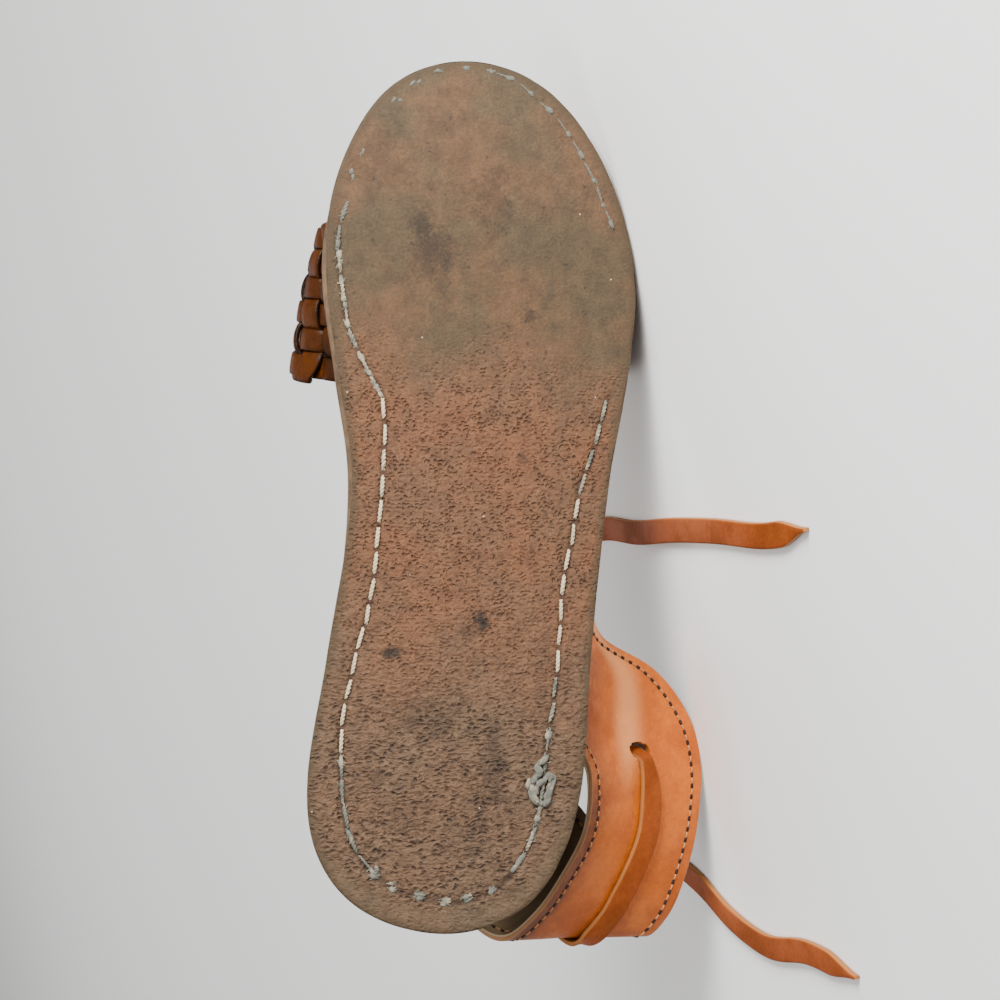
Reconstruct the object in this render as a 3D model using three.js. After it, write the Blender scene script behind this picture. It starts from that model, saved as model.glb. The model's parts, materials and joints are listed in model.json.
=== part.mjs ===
// A flat ankle-tie sandal for the left foot, lying on its outer side: a stitched leather sole, an open-toed
// woven vamp, a heel counter that has slumped outwards, and a leather tie threaded through the counter.
// Millimetres. The shoe is drawn in a frame of its own, x from the back of the heel to the toe tip,
// y to the outer side of the foot and z up from the tread, and is then laid on the floor.
import * as THREE from "three";
import { ConvexHull } from "three/addons/math/ConvexHull.js";

// Sole
const SOLE_LENGTH = 250;
const OUTSOLE_THICK = 3.6;
const MIDSOLE_THICK = 2.4;
const MIDSOLE_INSET = 0.4;
const INSOLE_THICK = 1.6;
const INSOLE_INSET = 5.8;
const LAYER_GAP = 0.3;
const EDGE_BEVEL = 0.6;
const TOE_SPRING = 4;
const SPRING_START = 196;
const SOLE_STEPS = 36;

// Woven vamp: strips that cross the foot and strips that run along it
const ROOT_INSET = 3.4;
const CROSS_STRIPS = 6;
const LONG_STRIPS = 18;
const STRIP_EDGE = 0.08;
const WEAVE_HALF = 1;
const STRIP_RISE = 0.8;
const RISE_AT_EDGE = 0.85;
const RISE_AT_DIP = 0.4;
const RISE_AT_CORNER = 0.25;

// Heel counter: two leathers sewn together
const COUNTER_WALL = 2.6;
const COUNTER_STEPS = 60;
const COUNTER_BANDS = 8;
const HOLE_BAND = 4;
const OUTER_HOLE_STEP = 14;
const INNER_HOLE_STEP = 47;

// Tie: a flat lace round the back of the counter, in through a hole on each side, with two free ends
const LACE_WIDTH = 7.4;
const LACE_THICK = 1.8;
const LACE_GAP = 0.3;
const LACE_NECK = 4.2;
const LACE_TIP = 2.4;
const LACE_BAR_STEPS = 34;
const LACE_END_STEPS = 40;
const LACE_TURN = 40;
const FLOOR_LACE = 1;
const FLOOR_UP = new THREE.Vector3(0, 0, 1);

// Distances of the sole's two edges from its axis, by the distance from the back of the heel.
const SOLE_ROWS = [
  { along: 0, inner: 1, outer: -1 },
  { along: 8, inner: 27, outer: 21.8 },
  { along: 24, inner: 38.7, outer: 32.8 },
  { along: 45, inner: 40.9, outer: 38 },
  { along: 80, inner: 35.3, outer: 40.3 },
  { along: 128, inner: 28.3, outer: 45.4 },
  { along: 160, inner: 32.1, outer: 51 },
  { along: 186, inner: 35.5, outer: 53 },
  { along: 210, inner: 34.2, outer: 48.2 },
  { along: 231, inner: 26.2, outer: 37.8 },
  { along: 244, inner: 15, outer: 24.8 },
  { along: 250, inner: -4.5, outer: 4.5 },
].map((row) => ({ ...row, at: turnAt(row.along) }));

// Sections of the vamp from its rear edge to its front edge: where it stands on the sole, how far each side
// bulges and how high up, and the crown over the foot.
const VAMP_ROWS = [
  {
    at: 0, footInner: 157, footOuter: 160, bulgeInner: 44, bulgeInnerRise: 14,
    bulgeOuter: 44.6, bulgeOuterRise: 29, crownAlong: 168, crownAcross: -2, crown: 50,
  },
  {
    at: 0.5, footInner: 180, footOuter: 182, bulgeInner: 41, bulgeInnerRise: 14,
    bulgeOuter: 44.2, bulgeOuterRise: 27, crownAlong: 187, crownAcross: 0, crown: 44,
  },
  {
    at: 1, footInner: 202, footOuter: 203, bulgeInner: 36, bulgeInnerRise: 12,
    bulgeOuter: 41, bulgeOuterRise: 16, crownAlong: 206, crownAcross: 3, crown: 35,
  },
];
const BULGE_DRIFT = 0.3;
const SHOULDER_DRIFT = 0.6;
const SHOULDER_IN = 0.3;
const SHOULDER_UP = 0.74;

// Sections of the counter from the outer front, round the heel, to the inner front. A row stands on the sole
// at its foot, or has a free lower edge. Lift says how upright the leather starts before it slumps.
const OUTER = 1;
const INNER = -1;
const COUNTER_ROWS = [
  { foot: 92, side: OUTER, high: [93, 40, 11], lift: 0.5 },
  { foot: 80, side: OUTER, high: [82.7, 46.5, 23.7], lift: 0.5 },
  { foot: 68, side: OUTER, high: [73.4, 62.5, 33], lift: 0.5 },
  { foot: 56, side: OUTER, high: [60, 73, 37], lift: 0.4 },
  { low: [44, 40.5, 10], high: [45, 77, 38], lift: 0.25 },
  { low: [28, 40, 15], high: [27, 76, 38], lift: 0.1 },
  { low: [14, 33.5, 18], high: [12, 72.5, 38], lift: 0.1 },
  { low: [3, 26, 20], high: [0, 67.5, 39], lift: 0.1 },
  { low: [-4, 17, 22], high: [-5.5, 60.5, 41], lift: 0.1 },
  { low: [0.5, 8, 24], high: [7, 53.5, 44], lift: 0.1 },
  { low: [13.5, 2, 26.5], high: [26, 46, 46], lift: 0.15 },
  { low: [30, -14, 23], high: [42.5, 31.5, 46], lift: 0.25 },
  { low: [45, -31.5, 12.5], high: [56, 12, 42], lift: 0.4 },
  { foot: 57, side: INNER, high: [66, -6, 34], lift: 0.5 },
  { foot: 69, side: INNER, high: [75, -21, 23], lift: 0.5 },
  { foot: 80, side: INNER, high: [83, -30, 13], lift: 0.5 },
];

// Where the free ends of the tie lie on the floor, from just inside their holes to their tips.
const OUTER_END_ROUTE = [
  [-77, 6, 16],
  [-75.5, 18, 7.5],
  [-74, 32, 1.6],
  [-69, 52, FLOOR_LACE],
  [-60, 70, FLOOR_LACE],
  [-45, 77, FLOOR_LACE],
  [-29, 71, FLOOR_LACE],
  [-19, 55, FLOOR_LACE],
  [-16, 34, FLOOR_LACE],
  [-17, 8, FLOOR_LACE],
  [-16, -20, FLOOR_LACE],
  [-16, -52, FLOOR_LACE],
  [-17, -84, FLOOR_LACE],
  [-15, -112, FLOOR_LACE],
];
const INNER_END_ROUTE = [
  [-66, 4, 82],
  [-65, 5, 60],
  [-66, 12, 34],
  [-70, 22, 14],
  [-78, 32, 6],
  [-88, 44, FLOOR_LACE],
  [-101, 53, FLOOR_LACE],
  [-114, 48, FLOOR_LACE],
  [-122, 32, FLOOR_LACE],
  [-128, 14, FLOOR_LACE],
  [-136, -4, FLOOR_LACE],
  [-141, -28, FLOOR_LACE],
  [-139, -56, FLOOR_LACE],
  [-142, -86, FLOOR_LACE],
];

const MIDSOLE_BASE = OUTSOLE_THICK + LAYER_GAP;
const INSOLE_BASE = MIDSOLE_BASE + MIDSOLE_THICK + LAYER_GAP;
const FOOT_LEVEL = INSOLE_BASE + 1;
const FOOT_FREE = INSOLE_BASE + 9;
const SLOPE_STEP = 1e-3;

const { lerp, smoothstep } = THREE.MathUtils;

// Angle round the sole's outline at a distance from the heel, so that both round ends come out smooth.
function turnAt(along) {
  return Math.acos(1 - (2 * along) / SOLE_LENGTH);
}

// Smooth curve through one column of a table, by the rows' "at".
function smooth(rows, column, at) {
  const last = rows.length - 1;
  const next = rows.findIndex((row) => row.at > at);
  const i = next < 0 ? last - 1 : Math.max(next - 1, 0);
  const slope = (j) => {
    const before = rows[Math.max(j - 1, 0)];
    const after = rows[Math.min(j + 1, last)];
    return (after[column] - before[column]) / (after.at - before.at);
  };
  const span = rows[i + 1].at - rows[i].at;
  const t = (at - rows[i].at) / span;
  const rise = rows[i + 1][column] - rows[i][column];
  const start = slope(i) * span;
  const end = slope(i + 1) * span;
  return rows[i][column] + t * (start + t * (3 * rise - 2 * start - end + t * (start + end - 2 * rise)));
}

function spring(x) {
  const past = Math.max(0, x - SPRING_START) / (SOLE_LENGTH - SPRING_START);
  return TOE_SPRING * past * past;
}

// A point of the sole's edge, moved in by inset. The turn runs from 0 at the heel to PI at the toe.
function solePoint(turn, side, inset) {
  const column = side === OUTER ? "outer" : "inner";
  const edge = (a) => {
    const along = (SOLE_LENGTH / 2) * (1 - Math.cos(a));
    return new THREE.Vector2(along, side * smooth(SOLE_ROWS, column, a));
  };
  const way = edge(Math.min(turn + SLOPE_STEP, Math.PI)).sub(edge(Math.max(turn - SLOPE_STEP, 0)));
  const out = new THREE.Vector2(-way.y, way.x).normalize().multiplyScalar(side);
  return edge(turn).addScaledVector(out, -inset);
}

function soleRing(inset, height) {
  const ring = [];
  for (let i = 0; i < 2 * SOLE_STEPS; i++) {
    const side = i < SOLE_STEPS ? INNER : OUTER;
    const step = side === INNER ? i : 2 * SOLE_STEPS - i;
    const p = solePoint((Math.PI * step) / SOLE_STEPS, side, inset);
    ring.push(new THREE.Vector3(p.x, p.y, height + spring(p.x)));
  }
  return ring;
}

function geometryOf(points, index) {
  const geometry = new THREE.BufferGeometry().setFromPoints(points);
  geometry.setIndex(index);
  geometry.computeVertexNormals();
  return geometry;
}

// Closed solid through rings of points, each ring turning left round the way that the stack runs.
function stack(rings) {
  const size = rings[0].length;
  const top = (rings.length - 1) * size;
  const index = [];
  for (let r = 0; r < top; r += size)
    for (let i = 0; i < size; i++) {
      const j = (i + 1) % size;
      index.push(r + i, r + j, r + size + j, r + i, r + size + j, r + size + i);
    }
  for (let i = 0; i < size / 2; i++) {
    const [a, b, c, d] = [i, i + 1, size - i - 1, (size - i) % size];
    if (a !== d) index.push(a, d, b, top + a, top + b, top + d);
    if (b !== c) index.push(b, d, c, top + b, top + c, top + d);
  }
  return geometryOf(rings.flat(), index);
}

// Closed wall between an outer and an inner grid of points, without the cells that are open.
function wall(outer, inner, isOpen) {
  const rows = outer.length - 1;
  const columns = outer[0].length - 1;
  const index = [];
  const out = (i, j) => i * (columns + 1) + j;
  const into = (i, j) => out(rows + 1 + i, j);
  const quad = (a, b, c, d) => index.push(a, b, c, a, c, d);
  const kept = (i, j) => i >= 0 && j >= 0 && i < rows && j < columns && !isOpen(i, j);
  for (let i = 0; i < rows; i++)
    for (let j = 0; j < columns; j++) {
      if (!kept(i, j)) continue;
      const [k, l] = [i + 1, j + 1];
      quad(out(i, j), out(k, j), out(k, l), out(i, l));
      quad(into(i, j), into(i, l), into(k, l), into(k, j));
      if (!kept(i - 1, j)) quad(out(i, j), out(i, l), into(i, l), into(i, j));
      if (!kept(k, j)) quad(out(k, l), out(k, j), into(k, j), into(k, l));
      if (!kept(i, j - 1)) quad(out(k, j), out(i, j), into(i, j), into(k, j));
      if (!kept(i, l)) quad(out(i, l), out(k, l), into(k, l), into(i, l));
    }
  return geometryOf([...outer.flat(), ...inner.flat()], index);
}

function slab(inset, base, thick) {
  return stack([
    soleRing(inset + EDGE_BEVEL, base),
    soleRing(inset, base + EDGE_BEVEL),
    soleRing(inset, base + thick - EDGE_BEVEL),
    soleRing(inset + EDGE_BEVEL, base + thick),
  ]);
}

// Where the upper stands on the sole, beside the insole.
function rootPoint(along, side) {
  const p = solePoint(turnAt(along), side, ROOT_INSET);
  return new THREE.Vector3(p.x, p.y, INSOLE_BASE + spring(p.x));
}

// Normal of a surface point(u, v), levelled near the sole so that a wall stands flat on it.
function normalOf(point, u, v) {
  const du = point(Math.min(u + SLOPE_STEP, 1), v).sub(point(Math.max(u - SLOPE_STEP, 0), v));
  const dv = point(u, Math.min(v + SLOPE_STEP, 1)).sub(point(u, Math.max(v - SLOPE_STEP, 0)));
  const n = du.cross(dv).normalize();
  n.z *= smoothstep(point(u, v).z, FOOT_LEVEL, FOOT_FREE);
  return n.normalize();
}

// The vamp's middle surface: u from the rear edge to the front, v over the foot from the inner side.
function vampPoint(u, v) {
  const value = (column) => smooth(VAMP_ROWS, column, u);
  const crown = new THREE.Vector3(value("crownAlong"), value("crownAcross"), value("crown"));
  const sideOf = (root, reach, rise) => {
    const bulge = new THREE.Vector3(lerp(root.x, crown.x, BULGE_DRIFT), reach, root.z + rise);
    const shoulder = new THREE.Vector3(
      lerp(bulge.x, crown.x, SHOULDER_DRIFT),
      lerp(bulge.y, crown.y, SHOULDER_IN),
      lerp(bulge.z, crown.z, SHOULDER_UP),
    );
    return [root, bulge, shoulder];
  };
  const inner = rootPoint(value("footInner"), INNER);
  const outer = rootPoint(value("footOuter"), OUTER);
  const arch = [
    ...sideOf(inner, -value("bulgeInner"), value("bulgeInnerRise")),
    crown,
    ...sideOf(outer, value("bulgeOuter"), value("bulgeOuterRise")).reverse(),
  ];
  return new THREE.CatmullRomCurve3(arch, false, "centripetal").getPointAt(v);
}

// Two edges and the middle of each strip, as shares of the way across them all.
function stripSpots(strips) {
  const spots = [];
  for (let strip = 0; strip < strips; strip++)
    for (const across of [STRIP_EDGE, 0.5, 1 - STRIP_EDGE]) {
      const at = (strip + across - STRIP_EDGE) / (strips - 2 * STRIP_EDGE);
      spots.push({ strip, middle: across === 0.5, at: Math.min(at, 1) });
    }
  return spots;
}

// Plain weave: each strip in turn rises over the one it crosses, on the outside and on the inside by turns,
// and a small gap is left where four strips meet.
function vampGeometry() {
  const rise = (wide, long) => {
    if (long) return wide ? 1 : RISE_AT_EDGE;
    return wide ? RISE_AT_DIP : RISE_AT_CORNER;
  };
  const face = (outward) =>
    stripSpots(CROSS_STRIPS).map((a) =>
      stripSpots(LONG_STRIPS).map((b) => {
        const crossOnTop = (a.strip + b.strip) % 2 === (outward > 0 ? 0 : 1);
        const share = crossOnTop ? rise(a.middle, b.middle) : rise(b.middle, a.middle);
        const off = outward * (WEAVE_HALF + STRIP_RISE * share);
        return vampPoint(a.at, b.at).addScaledVector(normalOf(vampPoint, a.at, b.at), off);
      }),
    );
  return wall(face(1), face(-1), (i, j) => i % 3 === 2 && j % 3 === 2);
}

const COUNTER_EDGES = COUNTER_ROWS.map((row, i) => {
  const low = row.low ? new THREE.Vector3(...row.low) : rootPoint(row.foot, row.side);
  const [highX, highY, highZ] = row.high;
  const at = i / (COUNTER_ROWS.length - 1);
  return { at, lowX: low.x, lowY: low.y, lowZ: low.z, highX, highY, highZ, lift: row.lift };
});

// The counter's middle surface: u round the heel from the outer front, v from its lower edge to its upper.
function counterPoint(u, v) {
  const value = (column) => smooth(COUNTER_EDGES, column, u);
  const low = new THREE.Vector3(value("lowX"), value("lowY"), Math.max(value("lowZ"), INSOLE_BASE));
  const high = new THREE.Vector3(value("highX"), value("highY"), value("highZ"));
  const upright = low.clone();
  upright.z += low.distanceTo(high) / 2;
  const knee = low.clone().lerp(high, 0.5).lerp(upright, value("lift"));
  return new THREE.QuadraticBezierCurve3(low, knee, high).getPoint(v);
}

function counterGeometry() {
  const face = (off) => {
    const rows = [];
    for (let i = 0; i <= COUNTER_STEPS; i++) {
      const row = [];
      for (let j = 0; j <= COUNTER_BANDS; j++) {
        const [u, v] = [i / COUNTER_STEPS, j / COUNTER_BANDS];
        row.push(counterPoint(u, v).addScaledVector(normalOf(counterPoint, u, v), off));
      }
      rows.push(row);
    }
    return rows;
  };
  const isHole = (i, j) => j === HOLE_BAND && (i === OUTER_HOLE_STEP || i === INNER_HOLE_STEP);
  return wall(face(COUNTER_WALL / 2), face(-COUNTER_WALL / 2), isHole);
}

const HOLE_HEIGHT = (HOLE_BAND + 0.5) / COUNTER_BANDS;
const LACE_OFF = COUNTER_WALL / 2 + LACE_GAP + LACE_THICK / 2;
const holeTurn = (step) => (step + 0.5) / COUNTER_STEPS;

// A place beside the counter at the height of its holes, with the directions across a lace and out of it.
function besideCounter(u, off) {
  const up = normalOf(counterPoint, u, HOLE_HEIGHT);
  const above = counterPoint(u, HOLE_HEIGHT + SLOPE_STEP);
  const side = above.sub(counterPoint(u, HOLE_HEIGHT)).normalize();
  return { centre: counterPoint(u, HOLE_HEIGHT).addScaledVector(up, off), side, up };
}

// Section of the lace with its edges eased, wide along side and thin along up.
function laceRing({ centre, side, up }, width) {
  const shape = [[-1, -0.5], [-0.85, -1], [0.85, -1], [1, -0.5], [1, 0.5], [0.85, 1], [-0.85, 1], [-1, 0.5]];
  return shape.map(([across, through]) =>
    centre
      .clone()
      .addScaledVector(side, (across * width) / 2)
      .addScaledVector(up, (through * LACE_THICK) / 2),
  );
}

function laceBarGeometry() {
  const rings = [];
  for (let i = 0; i <= LACE_BAR_STEPS; i++) {
    const u = lerp(holeTurn(OUTER_HOLE_STEP), holeTurn(INNER_HOLE_STEP), i / LACE_BAR_STEPS);
    const isAtHole = i === 0 || i === LACE_BAR_STEPS;
    rings.push(laceRing(besideCounter(u, LACE_OFF), isAtHole ? LACE_NECK : LACE_WIDTH));
  }
  return stack(rings);
}

// A free end, out of its hole's inner mouth and along its route, turning flat as it comes down to the floor.
function laceEndGeometry(step, route) {
  const mouth = besideCounter(holeTurn(step), -LACE_OFF);
  const start = mouth.centre.applyMatrix4(shoe.matrixWorld);
  const side = mouth.side.transformDirection(shoe.matrixWorld);
  const points = [start, ...route.map((p) => new THREE.Vector3(...p))];
  const path = new THREE.CatmullRomCurve3(points, false, "centripetal");
  const rings = [];
  for (let i = 0; i <= LACE_END_STEPS; i++) {
    const share = i / LACE_END_STEPS;
    const way = path.getTangentAt(share);
    const level = way.clone().cross(FLOOR_UP);
    if (level.dot(side) < 0) level.negate();
    const turned = Math.min(1, (share * path.getLength()) / LACE_TURN);
    side.lerp(level, level.length() * turned).projectOnPlane(way).normalize();
    const centre = path.getPointAt(share);
    centre.z = Math.max(centre.z, FLOOR_LACE);
    let width = LACE_WIDTH;
    if (i === 0) width = LACE_NECK;
    if (i === LACE_END_STEPS) width = LACE_TIP;
    rings.push(laceRing({ centre, side, up: way.clone().cross(side) }, width));
  }
  return stack(rings);
}

// Centre of mass of closed solids of one material.
function centreOf(geometries) {
  const centre = new THREE.Vector3();
  let volume = 0;
  for (const geometry of geometries) {
    const corners = geometry.toNonIndexed().getAttribute("position");
    for (let i = 0; i < corners.count; i += 3) {
      const [a, b, c] = [0, 1, 2].map((k) => new THREE.Vector3().fromBufferAttribute(corners, i + k));
      const share = a.dot(b.clone().cross(c));
      volume += share;
      centre.addScaledVector(a.add(b).add(c), share / 4);
    }
  }
  return centre.divideScalar(volume);
}

// The way down when the shoe lies still on its outer side: of the faces of its hull that have the centre of
// mass over them, the widest on that side.
const SIDEWAYS = 0.9;
function restingDown(group) {
  const centre = centreOf(group.children.map((mesh) => mesh.geometry));
  let widest = 0;
  let down = null;
  for (const face of new ConvexHull().setFromObject(group).faces) {
    const corners = [0, 1, 2].map((k) => face.getEdge(k).head().point);
    const triangle = new THREE.Triangle(...corners);
    const below = centre.clone().addScaledVector(face.normal, -face.distanceToPoint(centre));
    const isSteady = face.normal.y > SIDEWAYS && triangle.containsPoint(below);
    if (!isSteady || triangle.getArea() < widest) continue;
    widest = triangle.getArea();
    down = face.normal.clone();
  }
  return down;
}

const leather = (color, roughness) => new THREE.MeshStandardMaterial({ color, roughness, metalness: 0 });
function meshOf(name, geometry, material) {
  const mesh = new THREE.Mesh(geometry, material);
  mesh.name = name;
  return mesh;
}

const shoe = new THREE.Group();
shoe.add(
  meshOf("outsole", slab(0, 0, OUTSOLE_THICK), leather("#8a6a55", 0.8)),
  meshOf("midsole", slab(MIDSOLE_INSET, MIDSOLE_BASE, MIDSOLE_THICK), leather("#94806a", 0.8)),
  meshOf("insole", slab(INSOLE_INSET, INSOLE_BASE, INSOLE_THICK), leather("#b98a5c", 0.6)),
  meshOf("vamp", vampGeometry(), leather("#9a5a2c", 0.5)),
  meshOf("heel_counter", counterGeometry(), leather("#c98249", 0.45)),
  meshOf("tie_bar", laceBarGeometry(), leather("#c07a44", 0.5)),
);

// Laid on the floor with the toe along +X and the box's bottom centre at the origin.
const up = restingDown(shoe).negate();
const forward = new THREE.Vector3(1, 0, 0).projectOnPlane(up).normalize();
const axes = new THREE.Matrix4().makeBasis(forward, up.clone().cross(forward), up);
shoe.setRotationFromMatrix(axes.transpose());
const box = new THREE.Box3().setFromObject(shoe, true);
shoe.position.set(-(box.min.x + box.max.x) / 2, -(box.min.y + box.max.y) / 2, -box.min.z);
shoe.updateMatrixWorld(true);

const sandal = new THREE.Group();
sandal.add(
  shoe,
  meshOf("tie_end_outer", laceEndGeometry(OUTER_HOLE_STEP, OUTER_END_ROUTE), leather("#b5743f", 0.5)),
  meshOf("tie_end_inner", laceEndGeometry(INNER_HOLE_STEP, INNER_END_ROUTE), leather("#b5743f", 0.5)),
);

export default sandal;
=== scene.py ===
"""A flat ankle-tie sandal for the left foot, lying on its outer side with the sole towards the camera."""

import json
from math import cos, pi, radians, sin

import bpy
import numpy as np
from mathutils import Matrix, Vector, noise


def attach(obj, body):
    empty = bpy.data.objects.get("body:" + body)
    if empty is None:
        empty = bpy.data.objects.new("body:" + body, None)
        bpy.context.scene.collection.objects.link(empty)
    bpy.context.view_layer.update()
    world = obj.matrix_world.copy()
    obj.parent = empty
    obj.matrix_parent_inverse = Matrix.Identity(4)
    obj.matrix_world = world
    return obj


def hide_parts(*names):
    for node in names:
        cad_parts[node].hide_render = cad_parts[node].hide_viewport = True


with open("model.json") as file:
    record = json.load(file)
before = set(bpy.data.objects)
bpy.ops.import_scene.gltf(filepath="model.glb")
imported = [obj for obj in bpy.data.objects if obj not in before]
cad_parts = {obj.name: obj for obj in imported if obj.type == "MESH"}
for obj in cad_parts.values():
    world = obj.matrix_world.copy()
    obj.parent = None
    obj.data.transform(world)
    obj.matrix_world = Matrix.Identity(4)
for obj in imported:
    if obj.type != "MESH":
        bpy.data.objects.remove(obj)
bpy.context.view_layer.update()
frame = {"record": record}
bpy.ops.object.select_all(action="DESELECT")

# The shoe is drawn in millimetres in a frame of its own: x from the back of the heel to the toe, y to the outer
# side of the foot, z up from the tread. Two flat places of the tread say how it lies on the floor.
tread = {mount["name"]: mount for mount in frame["record"]["mounts"]}
tread_heel = Vector(tread["tread_heel"]["pos_m"])
to_toe = (Vector(tread["tread_ball"]["pos_m"]) - tread_heel).normalized()
to_foot = -Vector(tread["tread_heel"]["axis"]).normalized()
to_outer = to_foot.cross(to_toe)
millimetre, tread_heel_along = 0.001, 45
heel_back = tread_heel - tread_heel_along * millimetre * to_toe
axes = Matrix((to_toe, to_outer, to_foot)).transposed().to_4x4()
laid = Matrix.Translation(heel_back) @ axes @ Matrix.Scale(millimetre, 4)
inner, outer = -1, 1

# Outsole: one flat piece of vegetable-tanned leather with its pebbled grain outwards, no heel block, skived round
# the rim and worn smooth and grey under the ball of the foot.
sole_length, outsole_thick, sole_round = 250, 3.6, 0.8
spring_start, spring_rise = 196, 4
sole_rows = np.array([
    (0, 1, -1), (8, 27, 21.8), (24, 38.7, 32.8), (45, 40.9, 38), (80, 35.3, 40.3), (128, 28.3, 45.4),
    (160, 32.1, 51), (186, 35.5, 53), (210, 34.2, 48.2), (231, 26.2, 37.8), (244, 15, 24.8), (250, -4.5, 4.5),
])


def turn_at(along):
    """Angle round the outline at a distance from the heel, so that both round ends come out smooth."""
    return np.arccos(1 - 2 * np.asarray(along, float) / sole_length)


def smooth(ats, values, at):
    """Smooth curve through values, each slope taken from the two neighbours."""
    ats, values, at = (np.asarray(a, float) for a in (ats, values, at))
    before, after = np.maximum(np.arange(len(ats)) - 1, 0), np.minimum(np.arange(len(ats)) + 1, len(ats) - 1)
    slopes = (values[after] - values[before]) / (ats[after] - ats[before])
    i = np.clip(np.searchsorted(ats, at, side="right") - 1, 0, len(ats) - 2)
    span = ats[i + 1] - ats[i]
    t, rise = (at - ats[i]) / span, values[i + 1] - values[i]
    start, end = slopes[i] * span, slopes[i + 1] * span
    return values[i] + t * (start + t * (3 * rise - 2 * start - end + t * (start + end - 2 * rise)))


def unit(vectors):
    return vectors / np.linalg.norm(vectors, axis=-1, keepdims=True)


def sole_edge(turn, side, inset=0):
    """Plan of the sole's edge on one side, moved in by inset. The turn runs from 0 at the heel to pi at the toe."""
    turns, reach = turn_at(sole_rows[:, 0]), sole_rows[:, 1 if side == inner else 2]

    def edge(a):
        return np.stack([sole_length / 2 * (1 - np.cos(a)), side * smooth(turns, reach, a)], -1)

    way = edge(np.minimum(turn + 1e-3, pi)) - edge(np.maximum(turn - 1e-3, 0))
    return edge(turn) - inset * unit(side * np.stack([-way[..., 1], way[..., 0]], -1))


def toe_spring(x):
    """How far the sole turns up towards the toe."""
    return spring_rise * (np.maximum(0, x - spring_start) / (sole_length - spring_start)) ** 2


def soft_step(low, high, value):
    t = np.clip((value - low) / (high - low), 0, 1)
    return t * t * (3 - 2 * t)


def ripple(points, size, seed=0):
    """Smooth random heights between about -1 and 1, with bumps of one size."""
    return np.array([noise.noise((x / size + 31.7 * seed, y / size - 17.3 * seed, z / size)) for x, y, z in points])


def nearest(points, line):
    """Distance of each point from the nearest point of a line."""
    return np.concatenate([np.linalg.norm(p[:, None] - line[None], axis=-1).min(1) for p in np.array_split(points, 40)])


def place_of(piece):
    """Where each point of a piece is."""
    place = np.empty((len(piece.data.vertices), 3))
    piece.data.vertices.foreach_get("co", place.reshape(-1))
    return place


def new_grid(name, columns, rows):
    """A grid primitive, with each point's share of the way along its columns and its rows."""
    bpy.ops.mesh.primitive_grid_add(x_subdivisions=columns, y_subdivisions=rows, size=1, location=(0.5, 0.5, 0))
    bpy.ops.object.transform_apply(location=True)
    piece = bpy.context.object
    piece.name = piece.data.name = name
    u, v, _ = place_of(piece).T.copy()
    return piece, u, v


def move_points(piece, points):
    piece.data.vertices.foreach_set("co", np.asarray(points, float).ravel())
    piece.data.update()


def mark_points(piece, name, values):
    """Keeps a number or a vector for each point of the piece, for its material."""
    values = np.asarray(values, float)
    kind, field = ("FLOAT", "value") if values.ndim == 1 else ("FLOAT_VECTOR", "vector")
    piece.data.attributes.new(name, kind, "POINT").data.foreach_set(field, values.ravel())


def apply_modifier(piece, kind, **settings):
    bpy.context.view_layer.objects.active = piece
    modifier = piece.modifiers.new(kind, kind)
    for name, value in settings.items():
        setattr(modifier, name, value)
    bpy.ops.object.modifier_apply(modifier=modifier.name)


def face_outwards():
    """Turns all faces of the mesh that is in edit mode outwards, and leaves edit mode."""
    bpy.ops.mesh.select_all(action="SELECT")
    bpy.ops.mesh.normals_make_consistent(inside=False)
    bpy.ops.object.mode_set(mode="OBJECT")


def lay_down(piece, slot, *nodes, onto=laid):
    """Keeps where each point was drawn, for the material, and moves the mesh to where the piece lies."""
    mark_points(piece, "drawn", place_of(piece))
    piece.data.transform(onto)
    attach(piece, "root")
    if nodes:
        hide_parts(*nodes)


def walked_along(line):
    """Distance walked to each point of a line."""
    return np.r_[0, np.cumsum(np.linalg.norm(np.diff(line, axis=0), axis=1))]


def length_of(line):
    return walked_along(line)[-1]


def smooth_path(points, count):
    """Evenly spaced points along a smooth line through the given ones."""
    p = np.array(points, float)
    p = np.vstack([2 * p[0] - p[1], p, 2 * p[-1] - p[-2]])
    line = []
    for a, b, c, d in zip(p, p[1:], p[2:], p[3:]):
        ta, tb, tc = (np.linalg.norm(far - near) ** 0.5 for near, far in ((a, b), (b, c), (c, d)))
        start = tb * ((b - a) / ta - (c - a) / (ta + tb) + (c - b) / tb)
        end = tb * ((c - b) / tb - (d - b) / (tb + tc) + (d - c) / tc)
        t = np.linspace(0, 1, 40, endpoint=False)[:, None]
        line.append(b + t * (start + t * (3 * (c - b) - 2 * start - end + t * (start + end - 2 * (c - b)))))
    line = np.vstack([*line, p[-2:-1]])
    walked = walked_along(line)
    at = np.linspace(0, walked[-1], count)
    return np.stack([np.interp(at, walked, line[:, k]) for k in range(line.shape[1])], -1)


# The two runs of stitches that show: round the sole from the inner toe, and the worn one round the toe.
sole_seam = smooth_path([
    (223.9, -25.5), (219.1, -26.9), (214.8, -28.3), (209.4, -29.5), (203.3, -31.5), (194.5, -32.3), (188.2, -31.5),
    (181, -30.6), (173.6, -29.5), (162.4, -24.6), (153.6, -19.7), (135.9, -19.2), (128.7, -19.7), (119, -20.6),
    (104.7, -21.7), (88.7, -24.6), (79.8, -27.5), (71.5, -28.9), (64.1, -30.6), (48, -31.5), (40, -30.9), (32, -30),
    (24.6, -27.7), (17.4, -22), (12.6, -15.7), (11.2, -9.4), (8.6, -0.6), (10.3, 6.3), (13.7, 14), (18.3, 18),
    (24.6, 22), (34.3, 25.2), (41.2, 26.3), (56.1, 27.7), (64.1, 29.2), (80.1, 30.9), (92.7, 31.7), (100.7, 32.3),
    (108.7, 34), (120.7, 36), (128.7, 37.2), (135.9, 40.3), (145.6, 42.9), (153.3, 44.9),
], 900)
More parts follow.
